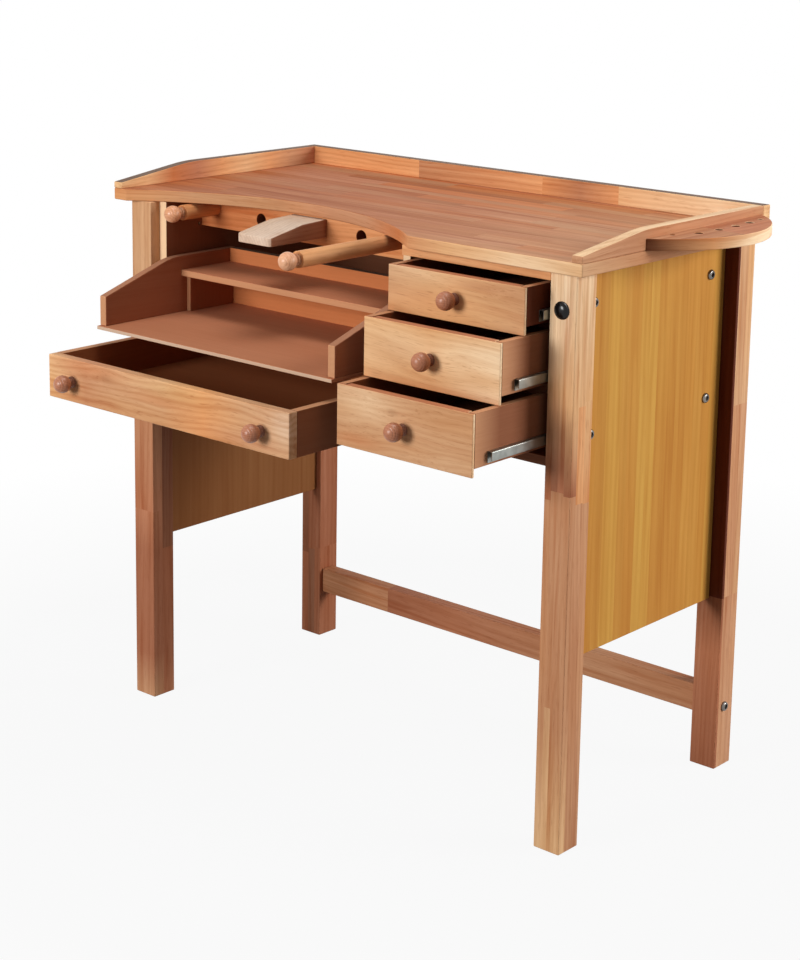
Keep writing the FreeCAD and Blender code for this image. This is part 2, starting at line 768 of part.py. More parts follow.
def check_and_write():
    """Check every object and sub-part, then write one file for each sub-part."""
    DOC.recompute()
    for thing in DOC.Objects:
        if "Invalid" in thing.State or "Error" in thing.State:
            raise RuntimeError(f"{thing.Label} failed to compute: {thing.State}")
    for part in KEPT:
        if part.Shape.isNull() or not part.Shape.isValid():
            raise RuntimeError(f"{part.Label} has no valid shape")
    os.makedirs("parts", exist_ok=True)
    for part in KEPT:
        part.Shape.exportStep(f"parts/{part.Label}.step")
        box = part.Shape.BoundBox
        print(f"{part.Label}: {len(part.Shape.Solids)} solid(s), {part.Shape.Volume / 1000:.1f} cm3, "
              f"x {box.XMin:.1f}..{box.XMax:.1f}, y {box.YMin:.1f}..{box.YMax:.1f}, "
              f"z {box.ZMin:.1f}..{box.ZMax:.1f}")
    print(f"{len(KEPT)} sub-parts")


make_top()
make_legs()
make_leg_cap()
make_panels()
make_case()
make_apron()
make_armrest("left", "-")
make_armrest("right", "+")
make_tray()
make_wide_drawer()
blades = []
for number, name in enumerate(DRAWERS, start=1):
    blades += make_drawer(name, number)
keep(group("case_slides", blades))
make_tool_holder()
check_and_write()
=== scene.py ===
"""The finished look of a wooden jeweler's bench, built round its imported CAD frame.

Every wooden piece is modelled as the board that it is: shaped, eased along its edges and
glued up from sticks, each with its own tone and grain. Lengths are metres, in the frame's
own axes: X to the bench's right, Y to its back, Z up.
"""

import logging
import math
import random
from dataclasses import dataclass, field
from enum import Enum, IntEnum
from typing import Callable, ClassVar, Dict, List, Optional, Sequence, Tuple

import bmesh
import bpy
from mathutils import Matrix, Vector


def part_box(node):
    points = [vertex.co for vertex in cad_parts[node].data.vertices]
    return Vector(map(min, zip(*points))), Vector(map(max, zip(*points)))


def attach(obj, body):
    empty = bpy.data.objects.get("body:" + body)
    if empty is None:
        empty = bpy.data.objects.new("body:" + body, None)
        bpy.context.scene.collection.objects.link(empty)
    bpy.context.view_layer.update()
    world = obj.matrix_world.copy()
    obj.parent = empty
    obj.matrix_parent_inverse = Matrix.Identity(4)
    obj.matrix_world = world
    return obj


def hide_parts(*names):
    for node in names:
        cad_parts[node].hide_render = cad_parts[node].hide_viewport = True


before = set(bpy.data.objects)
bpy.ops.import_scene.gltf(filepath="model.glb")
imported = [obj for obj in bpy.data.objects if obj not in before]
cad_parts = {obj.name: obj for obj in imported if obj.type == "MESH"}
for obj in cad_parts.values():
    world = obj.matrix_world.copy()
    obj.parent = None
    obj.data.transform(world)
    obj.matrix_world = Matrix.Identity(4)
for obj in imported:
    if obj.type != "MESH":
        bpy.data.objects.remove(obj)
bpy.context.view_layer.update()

LOG = logging.getLogger("jewelers_bench")

MM = 0.001

# Two places this near are one: TINY in a test, FAINT in a merge or a cut.
TINY = 1e-5
FAINT = 1e-6

# How far a waste reaches past the piece that it is taken from.
CLEAR = 10.0 * MM

# Edges sharper than SHARP are eased, those under SMOOTH are shaded smooth, and those under
# LEVEL are dissolved.
SHARP = math.radians(35.0)
SMOOTH = math.radians(38.0)
LEVEL = math.radians(0.5)

# Least part of a face's normal along an axis for the face to look that way.
FACING = 0.8

WHITE = (1.0, 1.0, 1.0, 1.0)

Pair = Tuple[float, float]
Triple = Tuple[float, float, float]
Place = Sequence[float]

# A colour in display values, and the linear one with its alpha that a socket holds.
Colour = Triple
Paint = Tuple[float, float, float, float]

# A noise's grains in a metre along each axis, its detail and its roughness.
Noise = Tuple[Triple, float, float]

Piece = bpy.types.Object
Socket = bpy.types.NodeSocket
Wanted = Callable[[Vector], bool]
Facing = Callable[[Vector, Vector], bool]


class Axis(IntEnum):
    """An axis of the frame."""

    X = 0
    Y = 1
    Z = 2

    def across(self) -> Tuple["Axis", "Axis"]:
        """The two other axes."""
        first, second = [axis for axis in Axis if axis != self]
        return first, second


class Part(Enum):
    """A kind of mesh element, by the name that the select mode has for it."""

    VERT = "verts"
    EDGE = "edges"
    FACE = "faces"


class Tone(Enum):
    """Mean colour of a stick of wood, in display values."""

    CREAM = (0.94, 0.80, 0.64)
    HONEY = (0.89, 0.70, 0.51)
    PEACH = (0.87, 0.62, 0.42)
    SAND = (0.81, 0.62, 0.46)
    TAN = (0.775, 0.56, 0.41)
    ROSE = (0.73, 0.48, 0.35)
    CORAL = (0.76, 0.46, 0.28)
    RUSSET = (0.64, 0.40, 0.285)
    UMBER = (0.55, 0.35, 0.25)
    BARK = (0.36, 0.17, 0.10)
    GOLD = (0.775, 0.55, 0.255)
    AMBER = (0.75, 0.505, 0.22)
    STRAW = (0.795, 0.59, 0.275)
    OCHRE = (0.54, 0.345, 0.195)
    COCOA = (0.55, 0.345, 0.24)
    BISQUE = (0.87, 0.635, 0.48)
    WALNUT = (0.69, 0.45, 0.33)
    SIENNA = (0.66, 0.395, 0.245)
    MOCHA = (0.66, 0.46, 0.35)
    LINEN = (0.80, 0.68, 0.58)
    SLATE = (0.44, 0.35, 0.29)
    ASH = (0.85, 0.74, 0.65)
    CHESTNUT = (0.74, 0.52, 0.38)


# Tones at places along the grain, from low to high.
Shades = Tuple[Tuple[float, Tone], ...]


def linear(display: float) -> float:
    """Turn a display value from 0 to 1 into a linear one."""
    if display <= 0.04045:
        return display / 12.92
    return ((display + 0.055) / 1.055) ** 2.4


def paint(colour: Colour) -> Paint:
    """Turn a display colour into the linear one that a socket holds."""
    return (*(linear(value) for value in colour), 1.0)


def blend(low: Sequence[float], high: Sequence[float], share: float) -> Tuple[float, ...]:
    """Mix two colours."""
    return tuple(first + (second - first) * share for first, second in zip(low, high))


# --------------------------------------------------------------------------- materials


class Graph:
    """The node tree of a material or a world, filled one node at a time."""

    def __init__(self, holder: bpy.types.ID) -> None:
        """Start an empty node tree for its holder."""
        holder.use_nodes = True
        self.holder = holder
        self.tree = holder.node_tree
        self.tree.nodes.clear()

    def add(self, kind: str, inputs: Optional[Dict[object, object]] = None,
            **settings: object) -> bpy.types.Node:
        """Add a node.

        Args:
            kind: the node's type name, without its ShaderNode prefix.
            inputs: a value or an output socket for each input that isn't left alone.
            settings: properties of the node itself.

        Returns:
            The new node.
        """
        node = self.tree.nodes.new(f"ShaderNode{kind}")
        for name, value in settings.items():
            setattr(node, name, value)
        for key, value in (inputs or {}).items():
            if isinstance(value, Socket):
                self.tree.links.new(value, node.inputs[key])
            else:
                node.inputs[key].default_value = value
        return node

    def math(self, operation: str, first: object, second: object = 0.0) -> Socket:
        """Return the result of a sum on one or two numbers."""
        return self.add("Math", {0: first, 1: second}, operation=operation).outputs[0]

    def mix(self, factor: object, low: object, high: object, way: str = "MIX") -> Socket:
        """Return a blend of two colours."""
        return self.add("Mix", {0: factor, 6: low, 7: high}, data_type="RGBA", blend_type=way).outputs[2]

    def tint(self, colour: object, by: object) -> Socket:
        """Return a colour multiplied by another one."""
        return self.mix(1.0, colour, (*by, 1.0) if isinstance(by, tuple) else by, "MULTIPLY")

    def vector(self, operation: str, first: object, second: object) -> Socket:
        """Return the result of a sum on two vectors."""
        return self.add("VectorMath", {0: first, 1: second}, operation=operation).outputs[0]

    def spread(self, value: object, low: float, high: float, least: float = 0.0,
               most: float = 1.0) -> Socket:
        """Return a number stretched so that low becomes least and high becomes most."""
        limits = {"Value": value, "From Min": low, "From Max": high, "To Min": least, "To Max": most}
        return self.add("MapRange", limits).outputs["Result"]

    def noise(self, place: object, scale: Colour, detail: float, rough: float) -> Socket:
        """Return a noise with so many grains in a metre along each axis."""
        stretched = self.add("Mapping", {"Vector": place, "Scale": scale}).outputs[0]
        grains = {"Vector": stretched, "Scale": 1.0, "Detail": detail, "Roughness": rough}
        return self.add("TexNoise", grains).outputs[0]

    def seen(self, *rays: str) -> Socket:
        """Return 1 for the named kinds of ray, and 0 for the others."""
        path = self.add("LightPath").outputs
        found = path[rays[0]]
        for ray in rays[1:]:
            found = self.math("MAXIMUM", found, path[ray])
        return found

    def surface(self, shader: str, inputs: Dict[object, object]) -> bpy.types.ID:
        """Join a shader to the output and return what holds the tree."""
        output = "OutputWorld" if isinstance(self.holder, bpy.types.World) else "OutputMaterial"
        self.add(output, {"Surface": self.add(shader, inputs).outputs[0]})
        return self.holder


@dataclass(frozen=True)
class Finish:
    """What a piece is dressed in.

    Attributes:
        name: the material's name.
        slot: a material slot's name; not used.
    """

    name: str
    slot: str

    def material(self) -> bpy.types.Material:
        """Return the material, made at its first use."""
        return bpy.data.materials.get(self.name) or self.build(Graph(bpy.data.materials.new(self.name)))

    def build(self, graph: Graph) -> bpy.types.Material:
        """Fill the material's node tree."""
        raise NotImplementedError


@dataclass(frozen=True)
class WoodFinish(Finish):
    """A lacquered wood, whose base tone and grain come from the sticks of each board.

    The rings, streaks and fibres together say how much late wood shows at a point. Their
    weights are shares of the contrast between early and late wood.

    Attributes:
        ring_gap: distance between growth rings.
        wander: how far the rings wander, in ring gaps.
        sway: how far the fibres sway to the side.
        ring: weight of the growth rings.
        streak: weight of the broad streaks.
        fibre: weight of the fine fibres.
        blotch: how much the tone wanders from place to place.
        vein: how dark the odd reddish veins are.
        pore: how dark the pores are.
        roughness: roughness of the lacquer.
        gloss: specular level of the lacquer.
        coat: weight of a clear coat.
        bump: height of the fibres under the lacquer.
        contrast: how much darker late wood is than early wood, for each colour.
    """

    ring_gap: float = 0.008
    wander: float = 1.0
    sway: float = 0.008
    ring: float = 0.26
    streak: float = 0.52
    fibre: float = 0.30
    blotch: float = 1.9
    vein: float = 0.70
    pore: float = 0.40
    roughness: float = 0.50
    gloss: float = 0.06
    coat: float = 0.0
    bump: float = 0.12
    contrast: Colour = (0.36, 0.58, 0.74)

    # What veins and pores leave of the colour, and how far blotches change it either way.
    VEIN: ClassVar[Colour] = (0.78, 0.56, 0.42)
    PORE: ClassVar[Colour] = (0.60, 0.42, 0.32)
    PALE: ClassVar[Colour] = (0.03, 0.06, 0.09)
    WARM: ClassVar[Colour] = (-0.03, -0.07, -0.11)

    # Usual share of late wood in the rings, the streaks and the fibres.
    USUAL: ClassVar[Triple] = (0.38, 0.43, 0.44)

    # Each pattern along the grain and across it, and then the span of its noise that shows.
    SWAYS: ClassVar[Triple] = (6.0, 22.0, 22.0)
    STREAKS: ClassVar[Noise] = ((1.6, 48.0, 48.0), 4.0, 0.55)
    FIBRES: ClassVar[Noise] = ((7.0, 380.0, 380.0), 3.0, 0.6)
    PORES: ClassVar[Noise] = ((34.0, 760.0, 760.0), 1.0, 0.5)
    PATCHES: ClassVar[Noise] = ((3.0, 13.0, 13.0), 2.0, 0.5)
    VEINS: ClassVar[Noise] = ((2.4, 75.0, 75.0), 2.0, 0.5)
    STREAKS_SHOW: ClassVar[Pair] = (0.35, 0.70)
    FIBRES_SHOW: ClassVar[Pair] = (0.30, 0.75)
    PATCHES_SHOW: ClassVar[Pair] = (0.32, 0.68)
    VEINS_SHOW: ClassVar[Pair] = (0.56, 0.72)
    PORES_SHOW: ClassVar[Pair] = (0.60, 0.74)
    PORES_SINK: ClassVar[Pair] = (0.58, 0.75)

    def late_wood(self, graph: Graph, grain: Socket,
                  fibres: Socket) -> Socket:
        """Return how much late wood shows at a point, from 0 to 1."""
        place = graph.add("Mapping", {"Vector": grain, "Scale": (0.10, 1.0, 1.0)}).outputs[0]
        rings = graph.add(
            "TexWave",
            {"Vector": place, "Scale": 2.0 * math.pi / (20.0 * self.ring_gap),
             "Distortion": 2.0 * math.pi * self.wander, "Detail": 2.0, "Detail Scale": 0.22,
             "Detail Roughness": 0.45},
            wave_type="RINGS", rings_direction="X",
        ).outputs[1]
        streaks = graph.spread(graph.noise(grain, *self.STREAKS), *self.STREAKS_SHOW)
        share = graph.math("MULTIPLY", graph.math("POWER", rings, 1.6), self.ring)
        share = graph.math("ADD", share, graph.math("MULTIPLY", streaks, self.streak))
        fine = graph.math("MULTIPLY", graph.spread(fibres, *self.FIBRES_SHOW), self.fibre)
        return graph.math("ADD", share, fine)

    def build(self, graph: Graph) -> bpy.types.Material:
        """Fill the material's node tree."""
        straight = graph.add("Attribute", attribute_name="grain").outputs["Vector"]
        tone = graph.add("Attribute", attribute_name="tone").outputs["Color"]
        coarse = graph.add("Mapping", {"Vector": straight, "Scale": self.SWAYS}).outputs[0]
        drift = graph.add("TexNoise", {"Vector": coarse, "Scale": 1.0, "Detail": 1.0}).outputs[1]
        centred = graph.vector("SUBTRACT", drift, (0.5, 0.5, 0.5))
        grain = graph.vector("ADD", straight, graph.vector("MULTIPLY", centred, (0.0, self.sway, self.sway)))
        fibres = graph.noise(grain, *self.FIBRES)
        pores = graph.noise(grain, *self.PORES)
        patches = graph.spread(graph.noise(grain, *self.PATCHES), *self.PATCHES_SHOW)
        veins = graph.spread(graph.noise(grain, *self.VEINS), *self.VEINS_SHOW)

        # The usual share of late wood keeps a board's mean colour at its tone.
        weights = (self.ring, self.streak, self.fibre)
        usual = sum(part * weight for part, weight in zip(self.USUAL, weights))
        early = tuple(1.0 + usual * part for part in self.contrast)
        late = tuple(1.0 - (1.0 - usual) * part for part in self.contrast)
        share = self.late_wood(graph, grain, fibres)
        colour = graph.tint(tone, graph.mix(share, (*early, 1.0), (*late, 1.0)))
        pale, warm = ((*(1.0 + self.blotch * part for part in parts), 1.0)
                      for parts in (self.PALE, self.WARM))
        colour = graph.tint(colour, graph.mix(patches, pale, warm))
        colour = graph.mix(graph.math("MULTIPLY", veins, self.vein), colour, graph.tint(colour, self.VEIN))
        dark = graph.math("MULTIPLY", graph.spread(pores, *self.PORES_SHOW), self.pore)
        colour = graph.mix(dark, colour, graph.tint(colour, self.PORE))

        sunk = graph.math("MULTIPLY", graph.spread(pores, *self.PORES_SINK), 0.8)
        relief = graph.math("SUBTRACT", fibres, sunk)
        bump = graph.add("Bump", {"Height": relief, "Strength": self.bump, "Distance": 0.4 * MM})
        return graph.surface("BsdfPrincipled", {
            "Base Color": colour,
            "Roughness": graph.spread(fibres, 0.0, 1.0, self.roughness - 0.07, self.roughness + 0.07),
            "Specular IOR Level": self.gloss,
            "Coat Weight": self.coat,
            "Coat Roughness": 0.20,
            "Normal": bump.outputs["Normal"],
        })


@dataclass(frozen=True)
class MetalFinish(Finish):
    """A plated steel with fine brush marks.

    Attributes:
        colour: the plating's colour, in display values.
        roughness: roughness of the plating.
        brush: number of brush marks in a metre along each axis.
    """

    colour: Colour
    roughness: float
    brush: Triple

    DULL: ClassVar[float] = 0.86
    CLOUDS: ClassVar[Noise] = ((60.0, 60.0, 60.0), 2.0, 0.5)

    def build(self, graph: Graph) -> bpy.types.Material:
        """Fill the material's node tree."""
        place = graph.add("TexCoord").outputs["Object"]
        marks = graph.noise(place, self.brush, 3.0, 0.6)
        clouds = graph.spread(graph.noise(place, *self.CLOUDS), 0.35, 0.65)
        dull = paint(tuple(value * self.DULL for value in self.colour))
        bump = graph.add("Bump", {"Height": marks, "Strength": 0.08, "Distance": 0.1 * MM})
        return graph.surface("BsdfPrincipled", {
            "Base Color": graph.mix(clouds, paint(self.colour), dull),
            "Metallic": 1.0,
            "Roughness": graph.spread(marks, 0.0, 1.0, self.roughness - 0.08, self.roughness + 0.10),
            "Normal": bump.outputs["Normal"],
        })


@dataclass(frozen=True)
class PlasticFinish(Finish):
    """A moulded plastic with a faint unevenness in its gloss.

    Attributes:
        colour: the plastic's colour, in display values.
        roughness: roughness of the skin.
    """

    colour: Colour
    roughness: float

    LIGHTER: ClassVar[float] = 0.03
    CLOUDS: ClassVar[Noise] = ((400.0, 400.0, 400.0), 2.0, 0.5)

    def build(self, graph: Graph) -> bpy.types.Material:
        """Fill the material's node tree."""
        clouds = graph.noise(graph.add("TexCoord").outputs["Object"], *self.CLOUDS)
        lighter = paint(tuple(value + self.LIGHTER for value in self.colour))
        return graph.surface("BsdfPrincipled", {
            "Base Color": graph.mix(clouds, paint(self.colour), lighter),
            "Roughness": graph.spread(clouds, 0.0, 1.0, self.roughness, self.roughness + 0.10),
            "Specular IOR Level": 0.2,
            "Coat Weight": 0.12,
            "Coat Roughness": 0.06,
        })


RUBBERWOOD = WoodFinish("lacquered_rubberwood", "solid_wood")
DRAWER_WOOD = WoodFinish("drawer_front_wood", "drawer_wood", ring_gap=0.009, wander=2.2, sway=0.026,
                         ring=0.20, streak=0.26, fibre=0.24, blotch=2.6, vein=0.25, pore=0.45)
WIDE_FRONT_WOOD = WoodFinish("wide_front_wood", "drawer_wood", ring_gap=0.010, wander=2.4, sway=0.030,
                             ring=0.34, streak=0.40, fibre=0.26, blotch=2.6, vein=0.55, pore=0.45)
GOLDEN_VENEER = WoodFinish("golden_veneer", "panel_veneer", ring_gap=0.013, wander=0.7, ring=0.20,
                           streak=0.48, fibre=0.18, blotch=1.2, vein=0.3, pore=0.12, bump=0.05,
                           contrast=(0.24, 0.42, 0.60))
STAINED_BOARD = WoodFinish("stained_board", "tray_wood", ring=0.05, streak=0.12, fibre=0.12, blotch=0.5,
                           vein=0.0, pore=0.12, roughness=0.58, bump=0.06)
PIN_WOOD = WoodFinish("bare_pin_wood", "pin_wood", ring_gap=0.006, streak=0.58, fibre=0.40, vein=0.4,
                      roughness=0.62, contrast=(0.30, 0.38, 0.42))
TURNED_WOOD = WoodFinish("turned_knob_wood", "knob_wood", ring_gap=0.0035, sway=0.004, streak=0.30,
                         fibre=0.34, pore=0.45, roughness=0.36, gloss=0.32, coat=0.08, bump=0.05)
SLIDE_STEEL = MetalFinish("zinc_plated_slide", "slide_steel", (0.62, 0.63, 0.61), 0.32, (900.0, 8.0, 900.0))
BOLT_STEEL = MetalFinish("nickel_plated_bolt", "bolt_steel", (0.52, 0.50, 0.48), 0.22, (500.0,) * 3)
CAP_PLASTIC = PlasticFinish("black_cap_plastic", "black_plastic", (0.035, 0.035, 0.038), 0.16)


# --------------------------------------------------------------------------- sticks of wood


@dataclass(frozen=True)
class Blush:
    """A patch of another tone that fades out into the wood round it.

    Attributes:
        tone: the patch's own tone.
        place: its middle.
        reach: how far it spreads along each axis.
        strength: how much of it shows at its middle.
    """

    tone: Tone
    place: Vector
    reach: Vector
    strength: float

    def share(self, point: Vector) -> float:
        """How much of the patch shows at a point."""
        away = sum(((point[axis] - self.place[axis]) / self.reach[axis]) ** 2 for axis in Axis)
        return self.strength * math.exp(-away)


@dataclass(frozen=True)
class Knot:
    """A small knot, which the fibres run round.

    Attributes:
        place: its middle.
        reach: how far it pushes the fibres aside.
        dark: how much darker its heart is.
    """

    place: Vector
    reach: float
    dark: float

    LONG: ClassVar[float] = 2.6
    PUSH: ClassVar[float] = 0.85

    def nearness(self, point: Vector, grain: Axis, scale: float = 1.0) -> float:
        """How near a point is to the knot: 1 at its heart and 0 far away."""
        away = point - self.place
        away[grain] /= self.LONG
        return math.exp(-away.length_squared / (self.reach * scale) ** 2)


@dataclass
class Stick:
    """One stick of wood in a glued-up board.

    Attributes:
        low: lowest corner of the space that the stick takes.
        high: highest corner of that space.
        grain: the axis that its fibres run along.
        shades: tones at places along the grain, from low to high.
        heart: where the stick lies from the heart of its tree.
        lean: how far the fibres lean across, in each of the two other axes.
        flat: an axis across that the fibres don't change along, if there is one.
        gain: brightness of this stick against its tone.
        blushes: patches of other tones.
        knots: its knots.
    """

    low: Vector
    high: Vector
    grain: Axis
    shades: Shades
    heart: Vector
    lean: Pair
    flat: Optional[Axis] = None
    gain: float = 1.0
    blushes: List[Blush] = field(default_factory=list)
    knots: List[Knot] = field(default_factory=list)

    def distance(self, point: Vector) -> float:
        """How far a point is outside the stick's space."""
        return max(max(self.low[axis] - point[axis], point[axis] - self.high[axis], 0.0) for axis in Axis)

    def fibre_place(self, point: Vector) -> Vector:
        """A point's place in the stick's own tree: along the grain first, then across."""
        along = point[self.grain] - self.low[self.grain]
        found = [along]
        for axis, lean in zip(self.grain.across(), self.lean):
            aside = 0.0 if axis == self.flat else point[axis] - self.low[axis]
            for knot in self.knots:
                aside -= knot.PUSH * knot.nearness(point, self.grain) * (point[axis] - knot.place[axis])
            found.append(aside + lean * along)
        return self.heart + Vector(found)

    def colour(self, point: Vector) -> Paint:
        """The tone at a point, as a linear colour."""
        place = point[self.grain]
        before = next((shade for shade in reversed(self.shades) if shade[0] <= place + FAINT), self.shades[0])
        after = next((shade for shade in self.shades if shade[0] >= place - FAINT), self.shades[-1])
        span = after[0] - before[0]
        share = min(max((place - before[0]) / span, 0.0), 1.0) if span > FAINT else 0.0
        mixed = blend(paint(before[1].value), paint(after[1].value), share)
        for blush in self.blushes:
            mixed = blend(mixed, paint(blush.tone.value), blush.share(point))
        gain = self.gain
        for knot in self.knots:
            gain *= 1.0 - knot.dark * knot.nearness(point, self.grain, 0.4)
        return (*(value * gain for value in mixed[:3]), 1.0)


@dataclass
class Layup:
    """The sticks that one board is glued up from.

    Attributes:
        low: lowest corner of the board.
        high: highest corner of the board.
        grain: the axis that the fibres run along.
        seed: seed of the draws that give each stick its own grain.
        fine: greatest distance between marks of tone on the surface, or none.
        sticks: the sticks laid so far.
        facings: sticks that show only on the faces that a test picks.
    """

    low: Vector
    high: Vector
    grain: Axis
    seed: int
    fine: float = 0.0
    sticks: List[Stick] = field(default_factory=list)
    facings: List[Tuple[Facing, Stick]] = field(default_factory=list)

    def __post_init__(self) -> None:
        """Start the layup's own draws."""
        self.draws = random.Random(self.seed)

    def stick(self, low: Vector, high: Vector, grain: Axis, shades: Shades, gain: float = 1.0) -> Stick:
        """Return a stick with a grain of its own."""
        heart = Vector((
            self.draws.uniform(0.0, 40.0),
            self.draws.choice((-1, 1)) * self.draws.uniform(0.004, 0.05),
            self.draws.choice((-1, 1)) * self.draws.uniform(0.012, 0.07),
        ))
        lean = (self.draws.uniform(-0.03, 0.03), self.draws.uniform(-0.03, 0.03))
        return Stick(low, high, grain, shades, heart, lean, gain=gain)

    def full(self, tones: Sequence[Tone], grain: Axis) -> Stick:
        """Return a stick as large as the board, with tones spread evenly along its grain."""
        start, end = self.low[grain], self.high[grain]
        steps = max(len(tones) - 1, 1)
        shades = tuple((start + (end - start) * index / steps, tone) for index, tone in enumerate(tones))
        return self.stick(self.low.copy(), self.high.copy(), grain, shades)

    def whole(self, *tones: Tone) -> "Layup":
        """Make the board one stick; several tones follow one another along it."""
        self.sticks.append(self.full(tones, self.grain))
        return self

    def facing(self, picks: Facing, *tones: Tone, grain: Optional[Axis] = None,
               flat: Optional[Axis] = None) -> None:
        """Give the faces that a test picks a stick of their own."""
        stick = self.full(tones, self.grain if grain is None else grain)
        stick.flat = flat
        self.facings.append((picks, stick))

    def blush(self, tone: Tone, place: Place, reach: Place, strength: float) -> None:
        """Let a patch of another tone show on every stick so far."""
        for stick in self.sticks:
            stick.blushes.append(Blush(tone, Vector(place), Vector(reach), strength))

    def knot(self, place: Place, reach: float, dark: float) -> None:
        """Put a knot into every stick so far."""
        for stick in self.sticks:
            stick.knots.append(Knot(Vector(place), reach, dark))

    def seams(self, axis: Axis, count: int, uneven: float) -> List[float]:
        """Places of the seams across a board, its two sides included."""
        low, high = self.low[axis], self.high[axis]
        step = (high - low) / count
        inner = [low + step * (index + self.draws.uniform(-uneven, uneven)) for index in range(1, count)]
        return [low, *inner, high]

    def strips(self, axis: Axis, count: int, length: float, tones: Sequence[Tone], uneven: float = 0.18,
               jitter: float = 0.06) -> None:
        """Lay sticks side by side, with butt joints at random places along each row.

        Args:
            axis: the axis over which the rows lie side by side.
            count: number of rows.
            length: usual length of a stick.
            tones: the tones to draw from; one named twice comes up twice as often.
            uneven: how much the rows differ in width, as a share of it.
            jitter: how much the sticks differ in brightness.
        """
        places = self.seams(axis, count, uneven)
        for side, far in zip(places, places[1:]):
            start = self.low[self.grain]
            end = start + length * self.draws.uniform(0.25, 1.0)
            limit = self.high[self.grain]
            while start < limit - TINY:
                if limit - end < length * 0.25:
                    end = limit
                low, high = self.low.copy(), self.high.copy()
                low[axis], high[axis] = side, far
                low[self.grain], high[self.grain] = start, end
                tone = self.draws.choice(tones)
                gain = self.draws.uniform(1.0 - jitter, 1.0 + jitter)
                self.sticks.append(self.stick(low, high, self.grain, ((start, tone),), gain))
                start, end = end, end + length * self.draws.uniform(0.7, 1.2)

    def column(self, spans: Dict[Axis, Pair], *pieces: Sequence[Tuple[float, Tone]]) -> None:
        """Lay one row of given sticks along the grain.

        Args:
            spans: the row's low and high place on each axis across the grain.
            pieces: for each stick in turn, its tones at places along the grain, the first
                at its low end and the last at its high end.
        """
        for piece in pieces:
            low, high = self.low.copy(), self.high.copy()
            for axis, (near, far) in spans.items():
                low[axis], high[axis] = near, far
            low[self.grain], high[self.grain] = piece[0][0], piece[-1][0]
            self.sticks.append(self.stick(low, high, self.grain, tuple(piece)))

    def cuts(self) -> List[Tuple[Axis, float, Optional[Stick]]]:
        """Every seam, and every joint or change of tone with the stick that it belongs to."""
        found: List[Tuple[Axis, float, Optional[Stick]]] = []
        for axis in self.grain.across():
            places = sorted({round(stick.high[axis], 6) for stick in self.sticks})
            found += [(axis, place, None) for place in places if place < self.high[axis] - TINY]
        for stick in self.sticks:
            if stick.high[self.grain] < self.high[self.grain] - TINY:
                found.append((self.grain, stick.high[self.grain], stick))
            found += [(self.grain, place, stick) for place, _ in stick.shades[1:-1]]
        for _, stick in self.facings:
            found += [(stick.grain, place, None) for place, _ in stick.shades[1:-1]]
        if self.fine:
            for axis in Axis:
                count = int((self.high[axis] - self.low[axis]) / self.fine)
                step = (self.high[axis] - self.low[axis]) / max(count, 1)
                found += [(axis, self.low[axis] + step * index, None) for index in range(1, count)]
        return found

    def stick_at(self, normal: Vector, middle: Vector) -> Stick:
        """The stick that a face shows."""
        for picks, stick in self.facings:
            if picks(normal, middle):
                return stick
        return min(self.sticks, key=lambda candidate: candidate.distance(middle))


# --------------------------------------------------------------------------- bench work


def faces_up(normal: Vector, middle: Vector) -> bool:
    """Whether a face looks up."""
    return normal.z > FACING


def faces_front(normal: Vector, middle: Vector) -> bool:
    """Whether a face looks to the front."""
    return normal.y < -FACING


def faces_right(normal: Vector, middle: Vector) -> bool:
    """Whether a face looks to the right."""
    return normal.x > FACING


def is_edge(normal: Vector, middle: Vector) -> bool:
    """Whether a face is on the edge of a level board."""
    return abs(normal.z) < 0.75


def in_hole(axis: Axis, place: Pair, radius: float) -> Facing:
    """A test for the wall of a round hole.

    Args:
        axis: the axis along which the hole runs.
        place: the hole's middle, on the two axes across.
        radius: the hole's radius.

    Returns:
        The test.
    """
    first, second = axis.across()
    return lambda normal, middle: abs(normal[axis]) < 0.5 and math.hypot(
        middle[first] - place[0], middle[second] - place[1]) < radius * 1.02


def select_only(piece: Piece) -> None:
    """Leave one object selected and active."""
    bpy.ops.object.select_all(action="DESELECT")
    piece.select_set(True)
    bpy.context.view_layer.objects.active = piece


def apply_modifiers(piece: Piece) -> None:
    """Apply every modifier of a piece, in order."""
    select_only(piece)
    for name in [modifier.name for modifier in piece.modifiers]:
        bpy.ops.object.modifier_apply(modifier=name)


